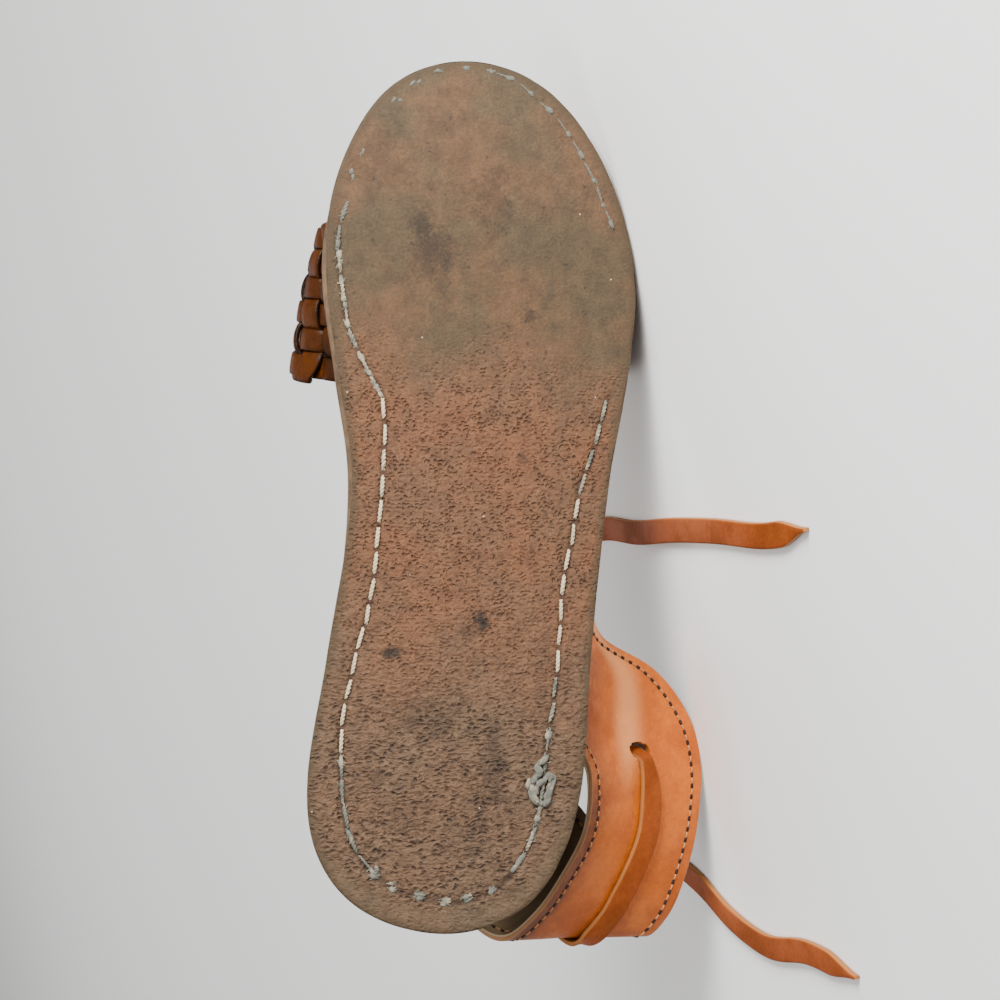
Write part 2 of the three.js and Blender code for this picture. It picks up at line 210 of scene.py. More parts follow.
toe_seam = smooth_path([
    (201.1, 46.9), (206.2, 44.9), (213.4, 42), (218.2, 40), (224.2, 36.9), (229.9, 33.2), (234.8, 29.7),
    (238.8, 25.2), (243.1, 21.2), (246, 15.4), (247.4, 9.4), (247.7, 3.1), (246.4, -3.7), (244.2, -8.9),
    (240.4, -14), (233.4, -20.6),
], 300)

# The grain is worn off up to a ragged line behind the ball and along the rim, the heel is wrinkled across, and the
# stitches' channel is worn flat under the toe.
grain_end, grain_slant, grain_fade = 163, 0.16, (-16, 14)
heel_wrinkles, heel_rim, rim_fade = (50, 105), (6, 34), (-1.5, 3.5)
channel_deep, channel_wide, channel_end = 0.35, 1.2, (196, 216)
pressed_deep, top_band = 0.12, 0.4
outsole, u, v = new_grid("outsole_leather", 420, 120)
share = (v + (1 - np.cos(pi * v)) / 2) / 2
edges = [sole_edge(pi * u, side) for side in (inner, outer)]
plan = edges[0] + (edges[1] - edges[0]) * share[:, None]
turns = np.linspace(0, pi, 400)
outline = np.vstack([sole_edge(turns, side) for side in (inner, outer)])
flat = np.c_[plan, np.zeros(len(plan))]
x, y = plan.T
rim = nearest(plan, outline)
seam = np.minimum(nearest(plan, sole_seam), nearest(plan, toe_seam)) + 3 * soft_step(*channel_end, x)
worn_line = grain_end - grain_slant * y + 9 * ripple(flat, 26) + 5 * ripple(flat, 9, 1)
pebbled = 1 - soft_step(*grain_fade, x - worn_line)
bare_rim = 0.5 + 6 * (1 - soft_step(*heel_rim, x)) + 2.5 * ripple(flat, 8, 2) + 1.2 * ripple(flat, 2.5, 8)
pebbled *= 0.3 + 0.7 * soft_step(*rim_fade, rim - bare_rim)
wrinkled = 1 - soft_step(*heel_wrinkles, x + 14 * ripple(flat, 22, 6))
pressed = 0.25 * ripple(flat, 30, 3) + 0.1 * ripple(flat, 7, 4)
height = toe_spring(x) + sole_round - np.sqrt(sole_round**2 - (sole_round - np.minimum(rim, sole_round)) ** 2)
height = height - pressed_deep * pressed * soft_step(0, 6, rim) + channel_deep * np.exp(-((seam / channel_wide) ** 2))
move_points(outsole, np.c_[plan, height])
for mark, values in (("rim", rim), ("pebbled", pebbled), ("seam", seam), ("wrinkled", wrinkled)):
    mark_points(outsole, mark, values)
bpy.ops.object.mode_set(mode="EDIT")
bpy.ops.mesh.select_all(action="SELECT")
bpy.ops.mesh.remove_doubles(threshold=0.003)
bpy.ops.mesh.region_to_loop()
for rise in (outsole_thick - sole_round - top_band, top_band):
    bpy.ops.mesh.extrude_region_move(TRANSFORM_OT_translate={"value": (0, 0, rise)})
bpy.ops.mesh.edge_face_add()
face_outwards()
bpy.ops.object.shade_smooth_by_angle(angle=radians(50))


def colour(code):
    """Linear colour of an sRGB hex value."""
    shares = [int(code[i : i + 2], 16) / 255 for i in (1, 3, 5)]
    return (*[s / 12.92 if s <= 0.04045 else ((s + 0.055) / 1.055) ** 2.4 for s in shares], 1)


def set_inputs(tree, node, inputs):
    """Sets a node's inputs to values, or links them to other nodes' outputs."""
    for name, value in inputs.items():
        if isinstance(value, bpy.types.NodeSocket):
            tree.links.new(value, node.inputs[name])
        else:
            node.inputs[name].default_value = value


def add(tree, kind, inputs=None, **settings):
    """Adds a shader node with its settings and its inputs."""
    node = tree.nodes.new("ShaderNode" + kind)
    for name, value in settings.items():
        setattr(node, name, value)
    set_inputs(tree, node, inputs or {})
    return node


def new_material(name):
    """A bare material, with its tree and its shader."""
    material = bpy.data.materials.new(name)
    material.use_nodes = True
    return material, material.node_tree, material.node_tree.nodes["Principled BSDF"]


# Sole leather: matt, with small pits all over the grain, about 1.2 mm apart and drawn out across the heel into short
# creases. The worn part is bare, greyer and felted, and walked-in dirt darkens it in patches.
sole_leather, tree, shader = new_material("worn_pitted_sole_leather")
eased, rgb = {"interpolation_type": "SMOOTHSTEP"}, {"data_type": "RGBA"}
drawn = add(tree, "Attribute", attribute_name="drawn").outputs["Vector"]
pebbled, rim, seam, wrinkled = (
    add(tree, "Attribute", attribute_name=mark).outputs["Fac"] for mark in ("pebbled", "rim", "seam", "wrinkled")
)
wobble = add(tree, "TexNoise", {"Vector": drawn, "Scale": 1 / 3.5, "Detail": 3.0}).outputs["Color"]
wobble = add(tree, "VectorMath", {0: wobble, 1: (0.5, 0.5, 0.5)}, operation="SUBTRACT").outputs[0]
bent = add(tree, "VectorMath", {0: wobble, 1: (2.6, 2.6, 0), 2: drawn}, operation="MULTIPLY_ADD").outputs[0]
pits = []
for along, across in ((1.1, 1.3), (1.2, 1.8)):
    packed = add(tree, "Mapping", {"Vector": bent, "Scale": (1 / along, 1 / across, 0)}).outputs[0]
    cells = add(tree, "TexVoronoi", {"Vector": packed, "Scale": 1.0}, voronoi_dimensions="2D").outputs
    dent = add(tree, "MapRange", {"Value": cells["Distance"], "From Min": 0.62, "From Max": 0.12}, **eased).outputs[0]
    depth = add(tree, "SeparateColor", {0: cells["Color"]}).outputs[0]
    depth = add(tree, "MapRange", {"Value": depth, "From Min": 0.15, "From Max": 0.9}).outputs[0]
    pits.append(add(tree, "Math", {0: dent, 1: depth}, operation="MULTIPLY").outputs[0])
pit = add(tree, "Mix", {0: wrinkled, 2: pits[0], 3: pits[1]}).outputs[0]
kept = add(tree, "TexNoise", {"Vector": drawn, "Scale": 1 / 9, "Detail": 3.0}).outputs["Fac"]
kept = add(tree, "MapRange", {"Value": kept, "From Min": 0.36, "From Max": 0.6, "To Min": 0.68}, **eased).outputs[0]
for part in (kept, pebbled):
    pit = add(tree, "Math", {0: pit, 1: part}, operation="MULTIPLY").outputs[0]
felt = add(tree, "TexNoise", {"Vector": drawn, "Scale": 1 / 0.9, "Detail": 4.0, "Roughness": 0.65}).outputs["Fac"]
creased = add(tree, "Mapping", {"Vector": bent, "Scale": (1 / 1.4, 1 / 3.2, 0)}).outputs[0]
creased = add(tree, "TexNoise", {"Vector": creased, "Scale": 1.0, "Detail": 3.0, "Roughness": 0.6}).outputs["Fac"]
blotch = add(tree, "TexNoise", {"Vector": drawn, "Scale": 1 / 26, "Detail": 4.0, "Roughness": 0.6}).outputs["Fac"]
mottle = add(tree, "TexNoise", {"Vector": drawn, "Scale": 1 / 5, "Detail": 4.0, "Roughness": 0.65}).outputs["Fac"]

# Its colours: worn and grained leather, greyer where it is trodden and with painted shade in the pits, then flecked and
# clouded, and darkest along the skived rim and, as painted shade, in the stitches' channel.
bare = add(tree, "MapRange", {"Value": blotch, "From Min": 0.4, "From Max": 0.62}, **eased).outputs[0]
bare_colour = add(tree, "Mix", {0: bare, 6: colour("#463723"), 7: colour("#543b24")}, **rgb).outputs[2]
grain_colour = add(tree, "Mix", {0: bare, 6: colour("#5d3f28"), 7: colour("#654026")}, **rgb).outputs[2]
tint = add(tree, "Mix", {0: pebbled, 6: bare_colour, 7: grain_colour}, **rgb).outputs[2]
trodden = add(tree, "Math", {0: wrinkled, 1: 0.55}, operation="MULTIPLY").outputs[0]
# Painted shade in the grain's pits, stronger across the wrinkled heel.
pit_shade = add(tree, "Math", {0: wrinkled, 1: 0.36, 2: 0.36}, operation="MULTIPLY_ADD").outputs[0]
pit_shade = add(tree, "Math", {0: pit, 1: pit_shade}, operation="MULTIPLY").outputs[0]
for mask, code in ((trodden, "#584836"), (pit_shade, "#1f1108")):
    tint = add(tree, "Mix", {0: mask, 6: tint, 7: colour(code)}, **rgb).outputs[2]
for pattern, darkest, palest in ((felt, 0.8, 1.18), (mottle, 0.77, 1.2)):
    shade = add(tree, "MapRange", {
        "Value": pattern, "From Min": 0.34, "From Max": 0.66, "To Min": darkest, "To Max": palest,
    }).outputs[0]
    tint = add(tree, "Mix", {0: 1.0, 6: tint, 7: shade}, **rgb, blend_type="MULTIPLY").outputs[2]
# Darker along the skived rim, and painted shade along the stitches' channel.
for away, none, full, most, code in ((rim, 3.2, 0.6, 0.7, "#3f301c"), (seam, 1.4, 0.5, 0.6, "#2b1a0e")):
    near = {"Value": away, "From Min": none, "From Max": full, "To Max": most}
    near = add(tree, "MapRange", near, **eased).outputs[0]
    tint = add(tree, "Mix", {0: near, 6: tint, 7: colour(code)}, **rgb).outputs[2]

# Stains where they show: place, reach along and across, and how dark.
stains = [
    (203, -8.5, 6, 5, 0.6), (194, -5, 11, 10, 0.7), (208, 12, 12, 9, 0.42), (177, 23, 4, 3, 0.7),
    (136, 20.5, 3, 2.5, 0.6), (89, 9, 3.8, 3.4, 1.4), (87, 5, 6, 6, 0.45), (80.5, -17, 2, 6, 1.0),
    (45, 11, 20, 9, 0.5), (62, -6, 13, 17, 0.4), (33, -14, 11, 12, 0.3), (27, 5, 9, 10, 0.3),
    (44, -21, 6, 7, 0.35), (222, -21, 12, 9, 0.25), (74, 25, 10, 6, 0.25),
]
for along, across, long, wide, dark in stains:
    spot = add(tree, "Mapping", {
        "Vector": bent, "Location": (-along / long, -across / wide, 0), "Scale": (1 / long, 1 / wide, 0),
    }).outputs[0]
    spot = add(tree, "VectorMath", {0: spot}, operation="LENGTH").outputs["Value"]
    for pattern, ragged in ((mottle, 1.3), (felt, 0.7)):
        spot = add(tree, "Math", {0: pattern, 1: ragged, 2: spot}, operation="MULTIPLY_ADD").outputs[0]
    spot = add(tree, "MapRange", {
        "Value": spot, "From Min": 2.0, "From Max": 1.1, "To Max": 0.85 * dark,
    }, **eased).outputs[0]
    tint = add(tree, "Mix", {0: spot, 6: tint, 7: colour("#1e140a")}, **rgb).outputs[2]

# Crumbs of dark dirt trodden in, and here and there a pale speck of grit.
crumbs = add(tree, "TexVoronoi", {"Vector": bent, "Scale": 1 / 5.5}, voronoi_dimensions="2D").outputs
crumb_size = add(tree, "SeparateColor", {0: crumbs["Color"]}).outputs[1]
crumb_size = add(tree, "MapRange", {"Value": crumb_size, "From Min": 0.55, "To Max": 0.1}).outputs[0]
crumb = add(tree, "Math", {0: crumbs["Distance"], 1: crumb_size}, operation="LESS_THAN").outputs[0]
crumb = add(tree, "Math", {0: crumb, 1: 0.55}, operation="MULTIPLY").outputs[0]
grit = add(tree, "TexVoronoi", {"Vector": drawn, "Scale": 1 / 17}, voronoi_dimensions="2D").outputs
speck = add(tree, "Math", {0: grit["Distance"], 1: 0.012}, operation="LESS_THAN").outputs[0]
chance = add(tree, "SeparateColor", {0: grit["Color"]}).outputs[0]
chance = add(tree, "Math", {0: chance, 1: 0.12}, operation="LESS_THAN").outputs[0]
speck = add(tree, "Math", {0: speck, 1: chance}, operation="MULTIPLY").outputs[0]
for mask, code in ((crumb, "#22180d"), (speck, "#b9ab97")):
    tint = add(tree, "Mix", {0: mask, 6: tint, 7: colour(code)}, **rgb).outputs[2]
ridged = add(tree, "Math", {0: wrinkled, 1: 0.95, 2: 0.35}, operation="MULTIPLY_ADD").outputs[0]
for part in (creased, pebbled):
    ridged = add(tree, "Math", {0: ridged, 1: part}, operation="MULTIPLY").outputs[0]
raised = ridged
for pattern, tall in ((pit, -0.62), (felt, 0.3)):
    raised = add(tree, "Math", {0: pattern, 1: tall, 2: raised}, operation="MULTIPLY_ADD").outputs[0]
relief = add(tree, "Bump", {"Height": raised, "Strength": 1.0, "Distance": 0.0011}).outputs[0]
set_inputs(tree, shader, {"Base Color": tint, "Normal": relief, "Roughness": 0.72, "Specular IOR Level": 0.35})

# Cut edge of the sole: bare fibre in thin layers, rubbed grey-beige.
cut_edge, tree, shader = new_material("cut_sole_leather_edge")
drawn = add(tree, "Attribute", attribute_name="drawn").outputs["Vector"]
layered = add(tree, "Mapping", {"Vector": drawn, "Scale": (1 / 9, 1 / 9, 1 / 0.7)}).outputs[0]
layers = add(tree, "TexNoise", {"Vector": layered, "Scale": 1.0, "Detail": 4.0, "Roughness": 0.6}).outputs["Fac"]
layers = add(tree, "MapRange", {"Value": layers, "From Min": 0.35, "From Max": 0.65}).outputs[0]
tint = add(tree, "Mix", {0: layers, 6: colour("#3e2c1b"), 7: colour("#70563a")}, **rgb).outputs[2]
relief = add(tree, "Bump", {"Height": layers, "Strength": 0.5, "Distance": 0.0003}).outputs[0]
set_inputs(tree, shader, {"Base Color": tint, "Normal": relief, "Roughness": 0.8})

outsole.data.materials.append(sole_leather)
outsole.data.materials.append(cut_edge)
for face in outsole.data.polygons:
    face.material_index = int(face.center.z > toe_spring(face.center.x) + sole_round + 0.05)
lay_down(outsole, "sole_leather", "outsole")

# Midsole: the second layer of sole leather, trimmed with the outsole, so that only its edge shows. It is left a
# little proud of the outsole beside the inner ball of the foot.
# Insole: the footbed that covers the ends of the upper, darkened where the foot has pressed it.
layer_gap, midsole_thick, insole_thick = 0.3, 2.4, 1.6
proud_start, proud_end = (95, 135), (190, 214)
midsole_base = outsole_thick + layer_gap
insole_base = midsole_base + midsole_thick + layer_gap


def sole_layer(name, inset, base, thick, ease, proud=0):
    """A flat layer cut to the sole's outline, with its edges eased, and left proud beside the inner ball."""
    bpy.ops.mesh.primitive_circle_add(vertices=240, radius=1, fill_type="NGON")
    piece = bpy.context.object
    piece.name = piece.data.name = name
    angles = np.array([np.arctan2(p.co.y, -p.co.x) for p in piece.data.vertices])
    turn = np.abs(angles)
    along = sole_length / 2 * (1 - np.cos(turn))
    inner_inset = inset - proud * soft_step(*proud_start, along) * (1 - soft_step(*proud_end, along))
    points = np.where(
        (angles < 0)[:, None], sole_edge(turn, inner, inner_inset[:, None]), sole_edge(turn, outer, inset),
    )
    move_points(piece, np.c_[points, base + toe_spring(points[:, 0])])
    bpy.ops.object.mode_set(mode="EDIT")
    bpy.ops.mesh.select_all(action="SELECT")
    bpy.ops.mesh.extrude_region_move(TRANSFORM_OT_translate={"value": (0, 0, thick)})
    face_outwards()
    apply_modifier(piece, "BEVEL", width=ease, segments=2, limit_method="ANGLE", angle_limit=radians(60))
    bpy.ops.object.shade_smooth_by_angle(angle=radians(40))
    return piece


midsole = sole_layer("midsole_leather", 0.4, midsole_base, midsole_thick, 0.5, proud=1.5)
midsole.data.materials.append(cut_edge)
lay_down(midsole, "midsole_leather", "midsole")

# Footbed leather: smooth tan, polished and darkened by the foot.
footbed_leather, tree, shader = new_material("polished_footbed_leather")
drawn = add(tree, "Attribute", attribute_name="drawn").outputs["Vector"]
blotch = add(tree, "TexNoise", {"Vector": drawn, "Scale": 1 / 24, "Detail": 4.0}).outputs["Fac"]
pores = add(tree, "TexNoise", {"Vector": drawn, "Scale": 1 / 0.9, "Detail": 3.0}).outputs["Fac"]
pressed = add(tree, "MapRange", {"Value": blotch, "From Min": 0.35, "From Max": 0.68}, **eased).outputs[0]
tint = add(tree, "Mix", {0: pressed, 6: colour("#84501f"), 7: colour("#6a3b17")}, **rgb).outputs[2]
relief = add(tree, "Bump", {"Height": pores, "Strength": 0.25, "Distance": 0.0003}).outputs[0]
set_inputs(tree, shader, {"Base Color": tint, "Normal": relief, "Roughness": 0.45})
insole = sole_layer("insole_leather", 5.8, insole_base, insole_thick, 0.5)
insole.data.materials.append(footbed_leather)
lay_down(insole, "insole_leather", "insole")

# Sole stitching: waxed cotton in a long lockstitch through all the layers, in a shallow channel. It lies clean at
# the waist, has frayed and gone grey where it is trodden, and is worn to stubs under the toe and the heel.
thread_thick, stitch_pitch, twist_pitch, channel_floor = 1.15, 7.4, 2.6, 0.3
ply_off, ply_thick, hole_deep, tuft_bed = 0.25, 0.68, 0.8, 0.15
thread_sides, hair_sides = 8, 4
hairs = np.random.default_rng(7)
round_section = np.array([(cos(a), sin(a)) for a in np.linspace(0, 2 * pi, thread_sides, endpoint=False)])


def sweep(path, side, up, section, width, thick):
    """One closed skin round a path: the section at each point, wide along side and thick along up."""
    across = section[None, :, 0] * np.broadcast_to(width, len(path))[:, None] / 2
    through = section[None, :, 1] * np.broadcast_to(thick, len(path))[:, None] / 2
    rings = path[:, None] + side[:, None] * across[..., None] + up[:, None] * through[..., None]
    n, k = rings.shape[:2]
    faces = [
        (i * k + j, i * k + (j + 1) % k, (i + 1) * k + (j + 1) % k, (i + 1) * k + j)
        for i in range(n - 1) for j in range(k)
    ]
    return rings.reshape(-1, 3), [*faces, tuple(range(k))[::-1], tuple(range((n - 1) * k, n * k))]


def tube(path, width, sides=thread_sides):
    """A round strand along a path."""
    way = unit(np.gradient(path, axis=0))
    lean = np.array([0.3, 0.2, 1.0]) if abs(way[0][2]) < 0.9 else np.array([1.0, 0.2, 0.1])
    side = unit(np.cross(way, lean))
    return sweep(path, side, np.cross(side, way), round_section[:: thread_sides // sides], width, width)


def join_parts(name, parts, **marks):
    """One mesh of many small closed skins, with a number kept for each of them."""
    points, faces, starts = [], [], 0
    for skin, sides in parts:
        faces += [tuple(starts + i for i in side) for side in sides]
        points.append(skin)
        starts += len(skin)
    mesh = bpy.data.meshes.new(name)
    mesh.from_pydata(np.vstack(points).tolist(), [], faces)
    piece = bpy.data.objects.new(name, mesh)
    bpy.context.collection.objects.link(piece)
    for mark, values in marks.items():
        mark_points(piece, mark, np.repeat(values, [len(skin) for skin, _ in parts]))
    bpy.ops.object.select_all(action="DESELECT")
    piece.select_set(True)
    bpy.context.view_layer.objects.active = piece
    bpy.ops.object.mode_set(mode="EDIT")
    face_outwards()
    bpy.ops.object.shade_smooth()
    return piece


def tread_place(plan, proud):
    """A point over the channel, proud of its floor."""
    return np.array([plan[0], plan[1], float(toe_spring(plan[0])) + channel_floor - proud])


def stitch(start, end, thick, proud):
    """Two plies of thread twisted together, from one hole of the sole to the next."""
    share = np.linspace(0, 1, 13)
    sag = -hole_deep + (hole_deep + proud) * np.sin(pi * share) ** 0.35
    centre = np.array([tread_place(start + (end - start) * s, h) for s, h in zip(share, sag)])
    way = unit(end - start)
    side, up = np.array([-way[1], way[0], 0]), np.array([0, 0, 1.0])
    turn = share * length_of(centre) / twist_pitch * 2 * pi + hairs.uniform(0, 6)
    ply = ply_thick * thick * np.sin(pi * np.clip(share, 0.06, 0.94)) ** 0.25
    for half in (0, pi):
        around = np.cos(turn + half)[:, None] * side + np.sin(turn + half)[:, None] * up
        yield tube(centre + ply_off * thick * around, ply)


bpy.ops.mesh.primitive_ico_sphere_add(subdivisions=2, radius=1)
ball = bpy.context.object
ball_points = np.array([p.co[:] for p in ball.data.vertices])
ball_faces = [tuple(face.vertices) for face in ball.data.polygons]
bpy.data.objects.remove(ball)


def tuft(centre, way, size, proud=0):
    """A felted lump of frayed thread, with a few loose hairs."""
    side = np.array([-way[1], way[0]])
    rough = np.ones(len(ball_points))
    for deep, wide in ((0.5, 0.5), (0.2, 0.22)):
        rough += deep * ripple(ball_points, wide, hairs.uniform(0, 50))
    lump = ball_points * rough[:, None] * size * (hairs.uniform(0.5, 0.95), hairs.uniform(0.32, 0.5), 0.28)
    plan = centre + lump[:, :1] * way + lump[:, 1:2] * side
    yield np.c_[plan, toe_spring(plan[:, 0]) + tuft_bed - proud + lump[:, 2]], ball_faces
    for _ in range(2):
        a = np.arctan2(way[1], way[0]) + hairs.normal(0, 0.6)
        bend = hairs.normal(0, 0.2, (4, 2)) * size
        aside = np.array([cos(a), sin(a)]) * size * hairs.uniform(0.7, 1.1)
        line = [tread_place(centre + aside * s + bend[i], 0.35 * (1 - s * s)) for i, s in enumerate((-1, -0.3, 0.4, 1))]
        yield tube(smooth_path(line, 8), hairs.uniform(0.25, 0.4), hair_sides)


# Each stitch is clean, frayed or worn to a stub, as the tread has rubbed it, and greyer towards the toe and the heel.
# A zone is given from and to a place along the sole, then from and to a place across it.
stub_zones = [(226, 250, -50, 14), (210, 250, -50, 0), (0, 20, -20, 20)]
frayed_zones = [(0, 52, -50, 0), (0, 58, 0, 60), (154, 210, -50, 0), (200, 250, -24, 60)]
soiled_zones = [(0, 76, 0, 60), (124, 196, 0, 60)]


def within(zones, place):
    return any(a < place[0] < b and c < place[1] < d for a, b, c, d in zones)


threads, soil = [], []
for line in (sole_seam, toe_seam):
    stitches = round(length_of(line) / stitch_pitch)
    holes = line[np.round(np.linspace(0, len(line) - 1, stitches + 1)).astype(int)]
    for start, end in zip(holes, holes[1:]):
        way, middle = end - start, (start + end) / 2
        stub, frayed, darkening = (within(zones, middle) for zones in (stub_zones, frayed_zones, soiled_zones))
        at_toe, at_heel = middle[0] > spring_start, middle[0] < 60
        if at_toe:
            grey = 1.6
        elif stub or (frayed and at_heel):
            grey = 1
        elif frayed or darkening:
            grey = 0.85
        else:
            grey = 0.12
        short = 0.015 if frayed else 0.06
        start, end = start + short * way + hairs.normal(0, 0.15, 2), end - short * way + hairs.normal(0, 0.15, 2)
        made = []
        if stub:
            for _ in range(2 if at_toe else 4):
                size = hairs.uniform(0.9, 1.5) if at_toe else hairs.uniform(1.1, 1.8)
                made += tuft(start + hairs.normal(0, 0.45 * size, 2), unit(way + hairs.normal(0, 2, 2)), size)
        elif frayed:
            worn = line is toe_seam
            made += stitch(start, end, thread_thick * hairs.uniform(0.6, 1.1) * (0.65 if worn else 1), 0.3)
            for s in hairs.uniform(0, 0.3 if worn else 1, 1 if worn else 2):
                made += tuft(start + s * (end - start), unit(way), hairs.uniform(1.2, 1.9 if worn else 2.3))
        else:
            made += stitch(start, end, thread_thick * hairs.uniform(0.92, 1.08), 0.4)
        threads += made
        soil += [float(grey + hairs.normal(0, 0.08))] * len(made)

# The thread was tied off at the outer heel: three strands wound in a loop, matted together by lumps.
knot = [
    (49.8, 26.4), (47.6, 24.6), (46.1, 25.5), (44.4, 23.8), (41.6, 22.9), (38.4, 23.8), (37.2, 25.5), (37.8, 27.2),
    (40.7, 28.1), (44.4, 29.2), (45, 27.8), (43.5, 26.4), (41.8, 24.6), (39.5, 24.1),
]
for shift in (-0.75, 0, 0.75):
    line = [tread_place(np.array(p) + shift * np.array([0.4, 0.75]), 0.4 + 0.35 * (i % 3)) for i, p in enumerate(knot)]
    threads.append(tube(smooth_path(line, 60), 0.9))
    soil.append(1.1)
for place, beyond in zip(smooth_path(knot, 26), smooth_path(knot, 27)[1:]):
    lumps = list(tuft(place + hairs.normal(0, 0.35, 2), unit(beyond - place + 1e-6), hairs.uniform(1.4, 2.1), 0.75))
    threads += lumps
    soil += [hairs.uniform(0.8, 1.2)] * len(lumps)
sole_stitching = join_parts("sole_stitching", threads, soil=soil)

# Waxed cotton thread: cream where it is clean, felted and grey where it is trodden.
cotton_thread, tree, shader = new_material("waxed_cotton_thread")
drawn = add(tree, "Attribute", attribute_name="drawn").outputs["Vector"]
soil = add(tree, "Attribute", attribute_name="soil").outputs["Fac"]
fibre = add(tree, "TexNoise", {"Vector": drawn, "Scale": 1 / 0.5, "Detail": 3.0}).outputs["Fac"]
patch = add(tree, "TexNoise", {"Vector": drawn, "Scale": 1 / 4, "Detail": 2.0}).outputs["Fac"]
soil = add(tree, "Math", {0: patch, 1: soil}, operation="MULTIPLY").outputs[0]
soil = add(tree, "Math", {0: soil, 1: 2.0}, operation="MULTIPLY", use_clamp=True).outputs[0]
tint = add(tree, "Mix", {0: soil, 6: colour("#d2bf9c"), 7: colour("#646358")}, **rgb).outputs[2]
shade = add(tree, "MapRange", {
    "Value": fibre, "From Min": 0.3, "From Max": 0.7, "To Min": 0.72, "To Max": 1.1,
}).outputs[0]
tint = add(tree, "Mix", {0: 1.0, 6: tint, 7: shade}, **rgb, blend_type="MULTIPLY").outputs[2]
relief = add(tree, "Bump", {"Height": fibre, "Strength": 0.5, "Distance": 0.0002}).outputs[0]
set_inputs(tree, shader, {"Base Color": tint, "Normal": relief, "Roughness": 0.85})
sole_stitching.data.materials.append(cotton_thread)
lay_down(sole_stitching, "sole_leather")

# Vamp: the woven front of the upper. Six strips cross the foot from sole edge to sole edge, and one long strip is
# plaited along the foot through them, turning round the first and the last of them at each end of its runs.
cross_strips, long_runs, strip_edge, strip_half = 6, 18, 0.08, 0.44
strip_thick, weave_half, root_inset, over_steps = 1.6, 1.0, 3.4, 360
run_start, run_end, strip_slack = 0.004, 0.996, 0.97
turn_start, turn_reach, turn_bend, turn_bulge = 0.92, 0.42, 1.6, 1.2
vamp_rows = {
    "foot_inner": (157, 180, 202), "foot_outer": (160, 182, 203), "bulge_inner": (44, 41, 36),
    "rise_inner": (14, 14, 12), "bulge_outer": (44.6, 44.2, 41), "rise_outer": (29, 27, 16),
    "crown_along": (168, 187, 206), "crown_across": (-2, 0, 3), "crown": (50, 44, 35),
}


def root_point(along, side):
    """Where the upper stands on the midsole, beside the insole."""
    place = sole_edge(turn_at(along), side, root_inset)
    return np.array([*place, insole_base + toe_spring(place[0])])


def vamp_arch(at):
    """Section of the vamp from the inner side over the foot, from its rear edge at 0 to its front edge at 1."""
    row = {name: float(smooth((0, 0.5, 1), values, at)) for name, values in vamp_rows.items()}
    crown = np.array([row["crown_along"], row["crown_across"], row["crown"]])
    sides = []
    for name, side in (("inner", inner), ("outer", outer)):
        root = root_point(row["foot_" + name], side)
        along = root[0] + 0.3 * (crown[0] - root[0])
        bulge = np.array([along, side * row["bulge_" + name], root[2] + row["rise_" + name]])
        sides.append([root, bulge, bulge + (crown - bulge) * (0.6, 0.3, 0.74)])
    return smooth_path([*sides[0], crown, *sides[1][::-1]], over_steps + 1)


def outward(first, second, place):
    """Outward direction of the upper from two ways along it, levelled where it stands on the sole."""
    out = unit(np.cross(first, second))
    out[..., 2] *= soft_step(insole_base + 1, insole_base + 9, place[..., 2])
    return unit(out)


vamp_ats = np.linspace(-0.06, 1.06, 57)
vamp_sheet = np.array([vamp_arch(at) for at in vamp_ats])
vamp_out = outward(np.gradient(vamp_sheet, axis=0), np.gradient(vamp_sheet, axis=1), vamp_sheet)


def on_vamp(field, at, over):
    """A field of the vamp's surface, at a share of its length and a share of the way over the foot."""
    i = np.clip((np.asarray(at) - vamp_ats[0]) / (vamp_ats[1] - vamp_ats[0]), 0, len(vamp_ats) - 1.001)
    j = np.clip(np.asarray(over) * over_steps, 0, over_steps - 0.001)
    a, b = i.astype(int), j.astype(int)
    s, t = (i - a)[:, None], (j - b)[:, None]
    here = field[a, b] * (1 - s) + field[a + 1, b] * s
    beyond = field[a, b + 1] * (1 - s) + field[a + 1, b + 1] * s
    return here * (1 - t) + beyond * t


def plait(index):
    """Height of a plaited strip over the strips that it crosses, from 1 over an even one to -1 over an odd one."""
    wave = np.cos(pi * index)
    return np.sign(wave) * np.abs(wave) ** 0.6


def middle_of(strip, strips):
    return (strip + 0.5 - strip_edge) / (strips - 2 * strip_edge)


strip_section = np.array([
    (-1, 0), (-0.97, 0.5), (-0.86, 0.86), (-0.5, 1), (0, 1.06), (0.5, 1), (0.86, 0.86), (0.97, 0.5),
    (1, 0), (0.97, -0.5), (0.86, -0.86), (0.4, -1), (-0.4, -1), (-0.86, -0.86), (-0.97, -0.5),
])
strips = []


def strip_along(path, side, width):
    """A flat strip of leather along a path, as wide as width along side."""
    way = unit(np.gradient(path, axis=0))
    strips.append(sweep(path, side, unit(np.cross(side, way)), strip_section, width, strip_thick))


for strip in range(cross_strips):
    over = np.linspace(0, 1, 260)
    at = np.full_like(over, middle_of(strip, cross_strips))
    index = over * (long_runs - 2 * strip_edge) - 0.5 + strip_edge
    off = weave_half * plait(index + strip) * soft_step(0, 0.02, over) * soft_step(0, 0.02, 1 - over)
    out = on_vamp(vamp_out, at, over)
    half = strip_half / (cross_strips - 2 * strip_edge)
    width = np.linalg.norm(on_vamp(vamp_sheet, at + half, over) - on_vamp(vamp_sheet, at - half, over), axis=1)
    path = on_vamp(vamp_sheet, at, over) + out * off[:, None]
    strip_along(path, unit(np.cross(unit(np.gradient(path, axis=0)), out)), strip_slack * width)


